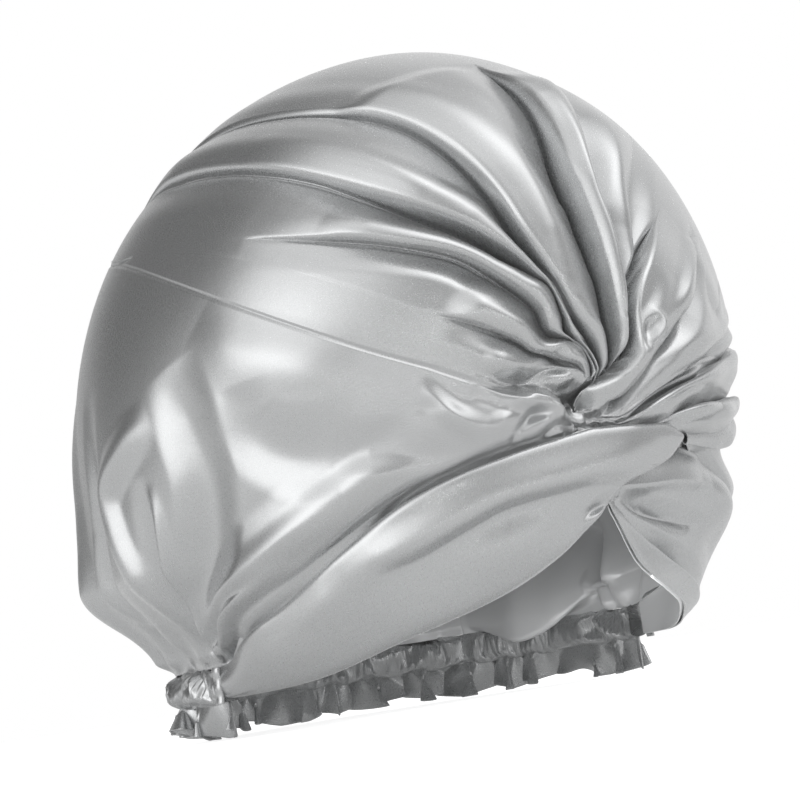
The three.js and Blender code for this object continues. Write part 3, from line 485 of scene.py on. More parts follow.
# The strap of the lap that comes down over the knot, and the fine pleats beside it
lap_folds = [
    Fold(about_knot((1.6, 100), (5, 68), (10, 63), (14, 55), (18, 53), (25, 50)), {0: 2, 0.4: 3.2}, (6, 6)),
    Fold(about_knot((2.4, 128), (4.4, 98), (6.6, 83), (9.9, 73), (14.3, 67.5), (18.7, 66), (25, 60)),
         {0: -2.4, 0.3: -3.6, 0.7: -2.4}, (2, 3.2), 0.6, 0.4),
    Fold(about_knot((12.2, 58), (14, 53), (15.6, 53)), {0: -1.4, 0.5: -2.4, 1: -0.6}, (2.6, 2.6)),
    Fold(about_knot((12, 60), (14.6, 60), (16.4, 56), (16.6, 50)), {0.5: 1.6, 1: 0.4}, (2, 2)),
    Fold([(13.8, 1.6), (16.8, 4.4), (21.1, 8.4), (28, 13), (36.3, 16.5), (46, 19)],
         {0.25: 2.2, 0.7: 2}, (6, 9), 0.5, -0.3),
    Fold([(3.1, -8.3), (13.2, -4.3), (23.5, -2.0), (38.7, -0.3)],
         {0: -2, 0.5: -3.8, 1: -1}, (5, 2.2), 0.6, 0.4),
    Fold([(3.7, -8.8), (13.1, -5.7), (23.3, -3.2), (31.7, -2.4)], {0: -1.4, 0.5: -2.8}, (2.4, 1.6), 0.6),
    Fold([(5.2, -9.1), (11.5, -6.9), (18.6, -5.2), (24.2, -4.6)], {0: -1.4, 0.5: -2.4}, (2, 1.6), 0.6),
    Fold([(6.8, -9.3), (13.0, -7.8), (20.8, -6), (29, -5.6)], {0: -1.4, 0.5: -2.2}, (2, 1.8), 0.6),
    Fold([(14, 24), (17, 30), (24, 36)], -2, (8, 8)),
    Fold([(26, 4), (38, 8), (50, 9)], -2, (9, 9)),
]


def outer_height(dirs):
    """Height of the outer cloth off the body, its sideways move, and its places about the knot."""
    swell, swell_size = 0.9 * MM, 70 * MM
    distance, bearing = knot_polar(dirs)
    height, move = fan_height(distance, bearing)
    height += swell * rolling(dirs, swell_size, 3) * smooth(distance, 18, 50) + bag_height(dirs)
    for fold in bag_folds + knot_folds:
        fold.apply(dirs, height, move)
    return height, move, distance, bearing


def place_cloth(dirs, height, move):
    """Points of a cloth at a height off the body, with each place moved sideways first."""
    return body_points(unit(dirs + move / HALF_LENGTH), height)


# Meshes
def normals_of(points):
    n = unit(np.cross(np.gradient(points, axis=1), np.gradient(points, axis=0)))
    away = points - np.array([0, 0, WIDEST_HEIGHT])
    return n * np.sign((n * away).sum() + TINY)


def add_object(name, data):
    made = bpy.data.objects.new(name, data)
    bpy.context.scene.collection.objects.link(made)
    return made


def mesh_piece(name, points, faces, cloth, uv):
    """A piece of four-sided faces in a cloth, which is a material and the name of its slot; the slot's name
    is not used.
    """
    material, slot = cloth
    mesh = bpy.data.meshes.new(name)
    mesh.vertices.add(len(points))
    mesh.vertices.foreach_set("co", (points + SHIFT).astype(np.float32).ravel())
    mesh.loops.add(faces.size)
    mesh.loops.foreach_set("vertex_index", faces.astype(np.int32).ravel())
    mesh.polygons.add(len(faces))
    mesh.polygons.foreach_set("loop_start", np.arange(0, faces.size, 4, dtype=np.int32))
    mesh.polygons.foreach_set("use_smooth", np.ones(len(faces), bool))
    layer = mesh.uv_layers.new(name="cloth")
    layer.data.foreach_set("uv", uv[faces.ravel()].astype(np.float32).ravel())
    mesh.update(calc_edges=True)
    mesh.validate()
    piece = add_object(name, mesh)
    mesh.materials.append(material)
    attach(piece, "root")
    return piece


def lengths_of(points):
    """Places on the cloth in metres along its two ways, from its own lengths."""
    across = running(step_lengths(points, 1).mean(0))
    down = running(step_lengths(points).mean(1))
    return np.stack(np.meshgrid(across, down), -1)


def grid_faces(rows, columns, start=0, wrap=False):
    r = np.arange(rows - (0 if wrap else 1))[:, None]
    c = np.arange(columns - 1)[None, :]
    a = start + (r % rows) * columns + c
    b = start + ((r + 1) % rows) * columns + c
    return np.stack([a, a + 1, b + 1, b], -1).reshape(-1, 4)


def ring_of(grid):
    """The edge of a grid, once round."""
    return np.concatenate([grid[0, :-1], grid[:-1, -1], grid[-1, :0:-1], grid[:0:-1, 0]])


def edge_out(points):
    """Unit vectors that point out of the sheet at its edges."""
    out = np.zeros(points.shape)
    out[0] += points[0] - points[1]
    out[-1] += points[-1] - points[-2]
    out[:, 0] += points[:, 0] - points[:, 1]
    out[:, -1] += points[:, -1] - points[:, -2]
    return unit(out)


def outward(points, faces):
    """The faces, turned so that the closed mesh has its normals outside."""
    a, b, c, d = (points[faces[:, k]] for k in range(4))
    volume = (a * np.cross(b, c)).sum() + (a * np.cross(c, d)).sum()
    return faces if volume > 0 else faces[:, ::-1]


def sheet_piece(name, node_name, points, cloth, ply=PLY):
    """A closed sheet of cloth with rounded edges, ply thick, under a grid of its outer points."""
    n = normals_of(points)
    out = edge_out(points)
    rows, columns = points.shape[:2]
    rings = []
    for turn in (45, 90, 135):
        a = math.radians(turn)
        rings.append(ring_of(points - n * ply * (1 - math.cos(a)) / 2 + out * ply * math.sin(a) / 2))
    count = len(rings[0])
    everything = np.concatenate([points.reshape(-1, 3), (points - n * ply).reshape(-1, 3)] + rings)
    edge = ring_of(np.arange(rows * columns).reshape(rows, columns))
    faces = [grid_faces(rows, columns), grid_faces(rows, columns, rows * columns)[:, ::-1]]
    belts = [edge] + [2 * rows * columns + k * count + np.arange(count) for k in range(len(rings))]
    belts.append(edge + rows * columns)
    for a, b in zip(belts[:-1], belts[1:]):
        faces.append(np.stack([a, b, np.roll(b, -1), np.roll(a, -1)], -1))
    uv = lengths_of(points)
    uvs = np.concatenate([uv.reshape(-1, 2)] * 2 + [ring_of(uv)] * len(rings))
    piece = mesh_piece(name, everything, outward(everything, np.concatenate(faces)), cloth, uvs)
    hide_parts(node_name)
    return piece


def clustered(count, sharp=0.75):
    """Places from 0 to 1 that crowd towards both ends."""
    t = np.linspace(0, 1, count)
    return mix(t, (1 - np.cos(math.pi * t)) / 2, sharp)


def columns_between(lines, per_gap):
    """Columns in each gap between lines of places, crowded towards the lines."""
    t = clustered(per_gap)[:-1]
    columns = [a[:, None] + (b - a)[:, None] * t for a, b in zip(lines[:-1], lines[1:])]
    return np.concatenate(columns + [lines[-1][:, None]], 1)


# Materials
def material_of(name):
    material = bpy.data.materials.new(name)
    material.use_nodes = True
    tree = material.node_tree
    return material, tree, tree.nodes["Principled BSDF"]


def node(tree, kind, **values):
    """A shader node, with its settings first and then the values of its sockets by name."""
    made = tree.nodes.new(kind)
    for key, value in values.items():
        if key in made.inputs:
            made.inputs[key].default_value = value
        else:
            setattr(made, key, value)
    return made


def join(source, output, target, socket):
    target.id_data.links.new(source.outputs[output], target.inputs[socket])


def set_skin(skin, **values):
    """Values of the shader's sockets, with a low line for each space in their names."""
    for key, value in values.items():
        skin.inputs[key.replace("_", " ")].default_value = value


def satin(name, light, dark, roughness, metallic):
    """Satin: long floats in one way, faint crumples, and a colour that shifts a little."""
    floats_per_metre = (5200, 900, 1)
    weave_height, crumple_height = 0.2 * MM, 0.6 * MM
    material, tree, skin = material_of(name)
    cloth = node(tree, "ShaderNodeUVMap", uv_map="cloth")
    place = node(tree, "ShaderNodeTexCoord")
    floats = node(tree, "ShaderNodeMapping", Scale=floats_per_metre)
    threads = node(tree, "ShaderNodeTexNoise", Scale=1.0, Detail=2.0, Roughness=0.6)
    crumple = node(tree, "ShaderNodeTexNoise", Scale=60.0, Detail=3.0, Roughness=0.5)
    cloud = node(tree, "ShaderNodeTexNoise", Scale=14.0, Detail=2.0)
    join(cloth, "UV", floats, "Vector")
    join(floats, "Vector", threads, "Vector")
    join(place, "Object", crumple, "Vector")
    join(place, "Object", cloud, "Vector")
    tone = node(tree, "ShaderNodeMix", data_type="RGBA", A=(*dark, 1), B=(*light, 1))
    join(cloud, "Fac", tone, "Factor")
    join(tone, "Result", skin, "Base Color")
    shine = node(tree, "ShaderNodeMapRange", **{"To Min": roughness - 0.05, "To Max": roughness + 0.05})
    join(threads, "Fac", shine, "Value")
    join(shine, "Result", skin, "Roughness")
    weave = node(tree, "ShaderNodeBump", Strength=0.12, Distance=weave_height)
    soft = node(tree, "ShaderNodeBump", Strength=0.2, Distance=crumple_height)
    join(threads, "Fac", weave, "Height")
    join(crumple, "Fac", soft, "Height")
    join(weave, "Normal", soft, "Normal")
    join(soft, "Normal", skin, "Normal")
    set_skin(skin, Metallic=metallic, Sheen_Weight=0.15, Sheen_Roughness=0.4)
    return material, name


def webbing(name):
    """Elastic webbing, matt and off-white, with fine ribs."""
    rib_height = 0.4 * MM
    material, tree, skin = material_of(name)
    place = node(tree, "ShaderNodeTexCoord")
    ribs = node(tree, "ShaderNodeTexWave", Scale=300.0, Distortion=1.0, bands_direction="Z")
    bump = node(tree, "ShaderNodeBump", Strength=0.5, Distance=rib_height)
    join(place, "Object", ribs, "Vector")
    join(ribs, "Fac", bump, "Height")
    join(bump, "Normal", skin, "Normal")
    set_skin(skin, Base_Color=(0.82, 0.81, 0.78, 1), Roughness=0.85)
    return material, name


OUTER = satin("outer_satin", (0.54, 0.548, 0.552), (0.48, 0.485, 0.49), 0.28, 0.85)
# The lining is the same satin as the outer cloth; its lighter base colour is painted light that brightens the
# shaded inside of the cap.
INNER = satin("lining_satin", (0.72, 0.728, 0.732), (0.66, 0.665, 0.67), 0.31, 0.45)
ELASTIC = webbing("elastic_webbing")


# The crown
def crown_reach():
    """Distance from the knot at which each side's way over the top meets the seam at the back."""
    side = np.linspace(-1, 1, 161)
    near, far = np.full(side.shape, CROWN_SIDE - 20.0), np.full(side.shape, 175.0)
    for _ in range(30):
        middle = (near + far) / 2
        dirs = from_knot(middle, side * seam_bearing(CROWN_SIDE))
        b = np.abs(bearing_of(dirs))
        above = (b < BACK_SEAM[0][0]) | (level_of(dirs) > along(BACK_SEAM, b))
        near, far = np.where(above, middle, near), np.where(above, far, middle)
    near[[0, -1]] = CROWN_SIDE
    return side, near


REACH_SIDES, REACHES = crown_reach()


def crown_places(share, side):
    """Distance and bearing about the knot, at a share of the way back and of the half width."""
    reach = np.interp(side, REACH_SIDES, REACHES)
    return mix(CROWN_START, reach, share), side * seam_bearing(mix(CROWN_START, CROWN_SIDE, share))


def crown_column(bearing_at, share, limit):
    """Shares of the half width at which a line of the crown runs, from its bearing at each distance."""
    side = np.zeros(share.shape)
    for _ in range(8):
        distance, _ = crown_places(share, side)
        half = seam_bearing(mix(CROWN_START, CROWN_SIDE, share))
        side = np.clip(bearing_at(distance) / half, -limit, limit)
    return side


def crown_grid(rows, per_gap):
    """Places of the crown in rows from the knot, with columns that run down every crease."""
    spare = 0.004
    share = np.linspace(0, 1, rows) ** 1.25
    lines = [np.full(rows, -1.0)]
    for pleat in near_fan:
        lines.append(crown_column(lambda d: np.interp(d, DISTANCES, pleat.bearing), share, 0.985))
    lines += [crown_column(lambda d: along(LAP_LEFT, d), share, 0.97), np.full(rows, 1.0)]
    for k in range(1, len(lines)):
        lines[k] = np.maximum(lines[k], lines[k - 1] + spare)
    for k in range(len(lines) - 2, -1, -1):
        lines[k] = np.minimum(lines[k], lines[k + 1] - spare)
    return crown_places(share[:, None], columns_between(lines, per_gap))


def seam_groove(gap):
    """How far cloth turns in beside a seam that is gap away."""
    depth, reach = 0.6 * MM, 1.2 * MM
    return depth * (1 - smooth(gap, 0, reach))


def crown():
    distance, bearing = crown_grid(280, 34)
    dirs = from_knot(distance, bearing)
    height, move, distance, bearing = outer_height(dirs)
    height -= under_lap(distance, bearing)
    side_gap = np.maximum(arc(seam_bearing(distance) - np.abs(bearing), radius_at(distance)), 0)
    b = np.abs(bearing_of(dirs))
    back_gap = np.where(b > 90, arc(level_of(dirs) - along(BACK_SEAM, b)), FAR_AWAY)
    height -= seam_groove(np.minimum(side_gap + FAR_AWAY * (distance > CROWN_SIDE), np.abs(back_gap)))
    return sheet_piece("crown", "crown_panel", place_cloth(dirs, height, move), OUTER)


# Edges of the front bands: level at each bearing, in degrees
NEAR_TOP = [(-85, -32), (-78, -31), (-65, -27.5), (-57, -25), (-44, -19.5), (-34, -15.5), (-24, -13),
            (-12, -11), (-4, -10), (0, -9.6), (10, -9.8), (15, -10), (17.5, -11)]
NEAR_LOW = [(-85, -37.2), (-79, -37.2), (-63, -37), (-51, -36), (-36, -33), (-17, -29), (-6, -25), (2, -20),
            (5, -18), (8, -16.3), (12, -15.4), (15.5, -14.4), (17.5, -12.8)]
FAR_TOP = [(3, -11), (12, -11), (24, -12), (34, -15), (44, -19.5), (57, -25), (65, -27.5), (78, -31),
           (85, -32)]
FAR_LOW = [(3, -16.5), (5, -18.2), (9, -22), (16, -27), (28, -31), (39, -33.5), (51, -36), (63, -37),
           (79, -37.2), (85, -37.2)]
NEAR_BAND_END = 17.5


def seam_level(bearing):
    """Level of the crown's seam at each bearing."""
    side = np.abs(bearing)
    distance = np.linspace(CROWN_START, CROWN_SIDE, 400)
    near, far = (from_knot(distance, turn * seam_bearing(distance)) for turn in (-1, 1))
    far_line = np.interp(side, bearing_of(far), level_of(far))
    near_line = np.interp(side, -bearing_of(near), level_of(near))
    front = np.where(bearing > 0, far_line, near_line)
    return np.where(side > BACK_SEAM[1][0], along(BACK_SEAM, side), front)


def back_bottom(bearing):
    """Level of the back's lower edge: over the bands at the front, on the casing behind."""
    band = np.where(bearing < NEAR_BAND_END, along(NEAR_TOP, bearing), along(FAR_TOP, bearing))
    return np.where(np.abs(bearing) > HEM_END, level_at(CASING_TOP), band - 0.2)


def seam_line(count):
    """Directions down the seam, from the knot along the near side, round the back, and to the knot again."""
    distance = mix(CROWN_START, CROWN_SIDE, np.linspace(0, 1, count) ** 1.2)
    near = from_knot(distance, -seam_bearing(distance))
    far = from_knot(distance, seam_bearing(distance))[::-1]
    start, end = bearing_of(near[-1:])[0], bearing_of(far[:1])[0] - 360
    turn = around(np.linspace(start, end, count)[1:-1])
    return np.concatenate([near, direction(turn, seam_level(turn)), far])


def back():
    overhang, overhang_reach = 2.6 * MM, 20 * MM
    tuck, tuck_reach = 4.2 * MM, 5 * MM
    seam_clear, seam_free = 2 * MM, 12 * MM
    top = seam_line(260)
    bearing = bearing_of(top)
    low = direction(bearing, back_bottom(bearing))
    levels = mix(level_of(top), level_of(low), clustered(140, 0.6)[:, None])
    dirs = direction(np.broadcast_to(bearing, levels.shape), levels)
    dirs[0] = top
    height, move, distance, places = outer_height(dirs)
    height -= under_lap(distance, places)
    gap = arc(level_of(top) - levels)
    over_band = arc(levels - level_of(low))
    front = 1 - smooth(np.abs(bearing), 78, HEM_END)
    puff = overhang * np.sin(math.pi * np.clip(over_band / overhang_reach, 0, 1)) ** 2
    puff -= tuck * (1 - smooth(over_band, 0, tuck_reach))
    height += puff * front * smooth(gap, seam_clear, seam_free) - seam_groove(gap)
    return sheet_piece("back", "back_panel", place_cloth(dirs, height, move), OUTER)


def lap():
    """The lap, which dives into the knot, lies on the crown, and turns in at its left edge."""
    margin, least_turn, end_spare = 7 * MM, 1.2, 8
    dive, lift, off_crown = 6 * MM, 4.6 * MM, 0.1 * MM
    end_sink, band_sink, side_sink, side_reach = 1.6 * MM, 7 * MM, 3 * MM, 8 * MM
    edge_reach, edge_sink = 2.8 * MM, 3.5 * MM
    distance = mix(CROWN_START, LAP_END + end_spare, np.linspace(0, 1, 150) ** 1.2)
    lines = [along(LAP_LEFT, distance)]
    for pleat in far_fan[:-1]:
        lines.append(np.interp(distance, DISTANCES, pleat.bearing))
    lines.append(along(LAP_RIGHT, distance) + np.degrees(margin / radius_at(distance)))
    for k in range(1, len(lines)):
        lines[k] = np.maximum(lines[k], lines[k - 1] + least_turn)
    bearing = columns_between(lines, 30)
    distance = np.broadcast_to(distance[:, None], bearing.shape)
    dirs = from_knot(distance, bearing)
    height, move, _, _ = outer_height(dirs)
    for fold in lap_folds:
        fold.apply(dirs, height, move)
    fade = 1 - smooth(distance, 22, 39)
    raised = mix(-dive, lift * fade, smooth(distance, 0.5, 7)) + off_crown
    raised -= end_sink * smooth(distance, 38, 46) + band_sink * smooth(-level_of(dirs), 8.6, 10.4)
    from_left = arc(bearing - along(LAP_LEFT, distance), radius_at(distance))
    turn = np.clip(from_left / edge_reach, 0, 1)
    turned_in = (1 - np.sqrt(np.clip(1 - (1 - turn) ** 2, 0, 1))) * (raised + edge_sink) * fade
    past_side = smooth(-lap_inside(distance, bearing), 0, side_reach) * (1 - fade * (turn < 1))
    height = height + raised - turned_in - side_sink * past_side
    return sheet_piece("lap", "twist_lap", place_cloth(dirs, height, move), OUTER)


def band_piece(name, node_name, edges, folds, bearing, rise_of, cloth, rows):
    """A cloth of a band between its top and low edges, at the given bearings."""
    top, low = edges
    share = clustered(rows, 0.4)[:, None]
    levels = mix(along(top, bearing), along(low, bearing), share)
    dirs = direction(np.broadcast_to(bearing, levels.shape), levels)
    height, move = rise_of(dirs, share) + 0 * levels, np.zeros(dirs.shape)
    for fold in folds:
        fold.apply(dirs, height, move)
    return sheet_piece(name, node_name, place_cloth(dirs, height, move), cloth)


near_band_folds = [
    Fold([(6.4, -17.2), (0, -16.9), (-4.7, -17.2), (-15.8, -18.3), (-22.6, -20.2), (-32, -23), (-40, -24)],
         {0: -3, 0.4: -4.6, 0.7: -4.4, 0.9: -3}, (15, 4), 0.3, 0.3),
    Fold([(8, -15), (0, -15), (-10, -15.8), (-20, -17.4), (-34, -21), (-44, -24.6)],
         {0: 1, 0.3: 2, 0.8: 1.6}, (5, 8)),
    Fold([(-66, -27.5), (-52, -23.5), (-40, -19.5)], -2.4, (8, 9)),
    Fold([(-2.4, -20.6), (-0.2, -19.4), (5.5, -18.2)], {0: -0.5, 0.5: -2.4, 1: -1}, (2.6, 3), 0.3, 0.3),
    Fold([(-4, -21.4), (1, -20.4), (5.5, -18.4)], 1.5, (2.5, 2.5)),
    Fold([(-50, -20.2), (-40, -18.4), (-30, -16.5), (-20, -15)], -1.4, (9, 9)),
    Fold([(-30, -25), (-20, -23.4), (-10, -21.6), (-3, -20)], 1.5, (8, 8)),
    Fold([(-70, -31), (-60, -29), (-48, -27)], -1.5, (12, 9)),
]
far_band_folds = [
    Fold([(7.4, -16.8), (13.7, -17), (22, -17), (34, -17.6)], {0: 1.5, 0.3: 5, 0.7: 4}, (10, 2.4), 0.3),
    Fold([(9, -18), (15.5, -18.8), (24, -20.4), (34, -22.6)],
         {0: -1.5, 0.4: -6, 0.8: -4}, (2.4, 8), 0.7, 0.8),
    Fold([(8.4, -19), (14, -21.4), (24, -25.4), (36, -29), (50, -32)],
         {0: -1.5, 0.3: -6, 0.7: -5.4}, (3, 8), 0.6, 0.6),
    Fold([(7.2, -18.8), (12, -21.8), (22, -26.8), (34, -30.4), (52, -34)],
         {0: 1, 0.3: 6, 0.7: 6.4, 1: 2}, (6, 4)),
    Fold([(30, -19), (42, -21), (56, -26)], {0.4: 7}, (12, 10)),
    Fold([(24, -13), (34, -14.5), (46, -15.6), (60, -18)], {0.5: -3, 1: -1}, (4, 6), 0.4),
]


def near_band_height(dirs, share):
    crossing_rise, round_rise = 4.4 * MM, 2.6 * MM
    edge_depth, edge_share = 2.2 * MM, 0.03
    swell, swell_size = 1.5 * MM, 62 * MM
    bearing = bearing_of(dirs)
    tube = 0.5 + 0.5 * smooth(-bearing, 20, 45)
    edge = edge_depth * (tube * np.exp(-share / edge_share) + np.exp(-(1 - share) / edge_share))
    round_ = round_rise * np.sin(math.pi * share) ** 0.7
    return crossing_rise * smooth(bearing, -8, 8) + round_ - edge + swell * rolling(dirs, swell_size, 21)


def far_band_height(dirs, share):
    crossing_sink, round_rise = 11 * MM, 1.8 * MM
    clear = smooth(bearing_of(dirs), 12, 38)
    return round_rise * np.sin(math.pi * share) * clear - crossing_sink * (1 - clear) * mix(1, 0.35, share)


def facing_under(rise_of):
    """Height of the inner ply under a band whose own height rise_of gives."""
    drop = 1.7 * MM
    return lambda dirs, share: np.minimum(0, rise_of(dirs, share)) - drop


def bands():
    near = ((NEAR_TOP, NEAR_LOW), near_band_folds)
    far = ((FAR_TOP, FAR_LOW), far_band_folds)
    near_under, far_under = facing_under(near_band_height), facing_under(far_band_height)
    near_run, far_run = np.linspace(1 - HEM_END, NEAR_BAND_END, 300), np.linspace(4, HEM_END - 1, 220)
    near_inner_run, far_inner_run = np.linspace(2 - HEM_END, 2, 200), np.linspace(6, HEM_END - 2, 180)
    band_piece("near_band", "near_front_band", *near, near_run, near_band_height, OUTER, 90)
    band_piece("far_band", "far_front_band", *far, far_run, far_band_height, OUTER, 90)
    band_piece("near_facing", "near_band_facing", *near, near_inner_run, near_under, INNER, 70)
    band_piece("far_facing", "far_band_facing", *far, far_inner_run, far_under, INNER, 70)


# The lining, which billows in over the casing at the back of the far side
lining_folds = [
    Fold([(135, -30.6), (127, -29.6), (117, -29), (107, -28.8), (99, -28)],
         {0: 1, 0.2: 9, 0.5: 17, 0.8: 13, 1: 3}, (6, 36), 0.2, -1.6),
    Fold([(126, -23), (117, -21), (108, -20)], 4, (14, 14)),
    Fold([(118, -18), (110, -17.4), (102, -19.4), (97, -23.6), (96, -28)],
         {0.3: -6, 0.8: -8, 1: -4}, (5, 8), 0.4),
    Fold([(114, -14.4), (105, -14.6), (96, -18), (90, -23), (88, -29)], {0.3: 7, 0.8: 8, 1: 3}, (8, 7)),
    Fold([(100, -25), (95, -28), (93, -31)], {0.5: 6, 1: 4}, (4, 4)),
    Fold([(84, -20), (82, -25), (83, -30)], {0.5: -5, 1: -3}, (6, 5), 0.3),
    Fold([(-176, -29), (-168, -26), (-164, -20)], {0: 5, 0.5: 5}, (10, 10)),
    Fold([(160, -30), (164, -24), (160, -16)], {0: 5, 0.5: 5}, (9, 9)),
    Fold([(148, -31), (152, -26), (150, -18)], {0: 5, 0.5: 6}, (10, 10)),
]


def lining_points(dirs):
    """Places of the lining, which lies in by the casing at the hem and hangs free above it."""
    hem_clear, knot_sink, hang, swell, swell_size = 1.1 * MM, 7 * MM, 4.75 * MM, 1.3 * MM, 60 * MM
    distance, _ = knot_polar(dirs)
    free = smooth(height_of(dirs), CASING_TOP, CASING_TOP + TUCK_HEIGHT / 2)
    inward = np.abs(swell * rolling(dirs, swell_size, 41) * free)
    move = np.zeros(dirs.shape)
    for fold in lining_folds:
        fold.apply(dirs, inward, move)
    depth = mix(HEM_WALL - hem_clear, hang + knot_sink * (1 - smooth(distance, 20, 75)), free)
    return place_cloth(dirs, -depth - inward, move)


def crown_lining():
    distance, bearing = crown_places(np.linspace(0, 1, 90)[:, None], np.linspace(-1, 1, 150)[None, :])
    points = lining_points(from_knot(distance, bearing * 0.995))
    return sheet_piece("crown_lining_cloth", "crown_lining", points, INNER)


def back_lining(name, node_name, start, end):
    bearing = around(np.linspace(start, end, round(1.4 * abs(end - start))))
    share = 1 - (1 - np.linspace(0, 1, 90)[:, None]) ** 1.5
    levels = mix(seam_level(bearing) - 0.4, back_bottom(bearing), share)
    points = lining_points(direction(np.broadcast_to(bearing, levels.shape), levels))
    return sheet_piece(name, node_name, points, INNER)


# The hem
def tube_faces(rows, stations):
    """Faces of a closed tube whose points run rows round it at each station, with both ends capped."""
    ring = np.arange(rows) * stations
    half = np.arange(rows // 2 - 1)
    cap = np.stack([ring[half], ring[half + 1], ring[rows - 2 - half], ring[rows - 1 - half]], -1)
    return np.concatenate([grid_faces(rows, stations, wrap=True), cap[:, ::-1], cap + stations - 1])


def hem_loop(name, node_name, section, bearing, cloth):
    """A closed band round the hem, whose section gives offsets and heights across it at each bearing."""
    offs, heights = section(bearing)
    points = hem_points(bearing[None, :], heights, offs)
    lengths = running(step_lengths(points[0]))
    girth = np.linspace(0, 2 * (CASING_TOP - CASING_LOW), len(points))
    uv = np.stack(np.meshgrid(lengths, girth), -1).reshape(-1, 2)
    flat = points.reshape(-1, 3)
    piece = mesh_piece(name, flat, outward(flat, tube_faces(len(points), len(bearing))), cloth, uv)
    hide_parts(node_name)
    return piece


def drift(bearing, seed, counts, most=1.0):
    """A slow seeded wander round the hem, in radians, that keeps gathers from repeating."""
    full_turn = 6.28
    r = np.random.default_rng(seed)
    return sum(r.uniform(0.4, 1.0) * most * np.sin(np.radians(bearing * k) + r.uniform(0, full_turn))
               for k in counts)


def gathers(bearing):
    """Turn of the gathers round the hem, which casing and frill share."""
    return np.radians(bearing) * 33 + drift(bearing, 23, (2, 5, 9, 14), 1.4)


def casing_section(bearing):
    """Section of the casing, drawn in by the elastic into gathers that lean one way and the other."""
    count = 40
    inset, least, gather, ripple, edge_wave = 0.3 * MM, 0.2 * MM, 1.7 * MM, 0.7 * MM, 0.5 * MM
    middle, half = (CASING_TOP + CASING_LOW) / 2, (CASING_TOP - CASING_LOW) / 2
    size = 1 + 0.3 * drift(bearing, 14, (4, 9, 17))
    leaning = drift(bearing, 9, (5, 11, 19), 1.5)
    joint = smooth(np.abs(around(bearing - CASING_JOINT)), 0.2, 4)
    offs, heights = [], []
    for a in np.arange(count) * 2 * math.pi / count:
        out, up = math.cos(a), math.sin(a)
        squared = math.copysign(abs(up) ** 0.45, up)
        side = math.copysign(abs(out) ** 0.4, out)
        belly = 1 - abs(squared) ** 4
        turn = gathers(bearing) + 1.6 * (1 + squared) * np.sin(1.6 * squared + leaning)
        swell = gather * size * (1 + side * np.sin(turn)) + ripple * np.abs(np.sin(2.6 * turn + 1.3 * side))
        wall = side * (HEM_WALL / 2 - inset) + out * (least + (0.35 + 0.65 * belly) * swell * joint)
        offs.append(wall - HEM_WALL / 2)
        heights.append(middle + squared * half + edge_wave * np.sin(turn + 2) * abs(squared) ** 3)
    return np.array(offs), np.array(heights)


def joint_stitches():
    """The upright row of stitches where the casing's ends meet, seen through the face opening."""
    sides, steps = 8, 9
    length, thick, pitch = 1.3 * MM, 0.22 * MM, 1.9 * MM
    proud, first_rise, last_gap = 0.1 * MM, 1.2 * MM, 1 * MM
    a = np.linspace(0, 2 * math.pi, sides + 1)[:-1, None, None]
    t = np.linspace(0, math.pi, steps)[None, :, None]
    seat, wall = (hem_points(np.array([CASING_JOINT + 0.4]), 0, off)[0] for off in (-HEM_WALL - proud, 0))
    out = unit(wall - seat)
    up = np.array([0, 0, 1])
    side = np.cross(up, out)
    points, faces = [], []
    for height in np.arange(CASING_LOW + first_rise, CASING_TOP - last_gap, pitch):
        round_ = (side * np.cos(a) + out * np.sin(a)) * thick * (0.15 + 0.85 * np.sin(t))
        stitch = seat + up * (height - up * np.cos(t) * length / 2)[..., 2:] + round_
        faces.append(tube_faces(sides, steps) + len(points) * sides * steps)
        points.append(stitch.reshape(-1, 3))
    points, faces = np.concatenate(points), np.concatenate(faces)
    return mesh_piece("joint_stitches", points, outward(points, faces), OUTER, points[:, :2])


def elastic_section(bearing):
    outer, inner, ripple = 1.6 * MM, 2.5 * MM, 0.15 * MM
    top, low = CASING_TOP - 1.2 * MM, CASING_LOW + 1.6 * MM
    wave = ripple * np.sin(np.radians(bearing * 90))
    offs = [wave - off for off in (outer, outer, inner, inner)]
    return np.array(offs), np.array([height + 0 * bearing for height in (top, low, low, top)])


def ruffle():
    """The frill: its folds open into loops that double back on themselves towards its edge."""
    start_wave, end_wave, ripple, slip = 1.6 * MM, 4.8 * MM, 0.8 * MM, 4.2 * MM
    edge_height, edge_wave, edge_drift = 2 * MM, 1.7 * MM, 1.6 * MM
    least, thick = 0.4 * MM, 0.6 * MM
    bearing = np.linspace(-HEM_END, HEM_END - 360, 1900)[None, :]
    drop = np.linspace(0, 1, 30)[:, None]
    size = 1 + 0.35 * drift(bearing, 31, (3, 7, 16))
    turn = gathers(bearing) + 0.9 * drop * drift(bearing, 37, (6, 13))
    wave = mix(start_wave, end_wave, drop**0.8) * size * np.sin(turn)
    wave += ripple * np.sin(2.7 * turn + 1 + drift(bearing, 29, (4, 11))) * (1 - drop) ** 0.6
    slide = slip * drop**0.8 * size * np.sin(2 * turn + 0.3)
    edge = edge_height + edge_wave * np.sin(turn + 0.2) + edge_drift * drift(bearing, 41, (8, 15, 27), 0.6)
    height = mix(CASING_LOW + least, np.maximum(edge, least), drop)
    points = hem_points(bearing + np.degrees(slide / HEM_HALF_LENGTH), height, wave - HEM_WALL / 2)
    return sheet_piece("ruffle", "hem_ruffle", points, OUTER, thick)


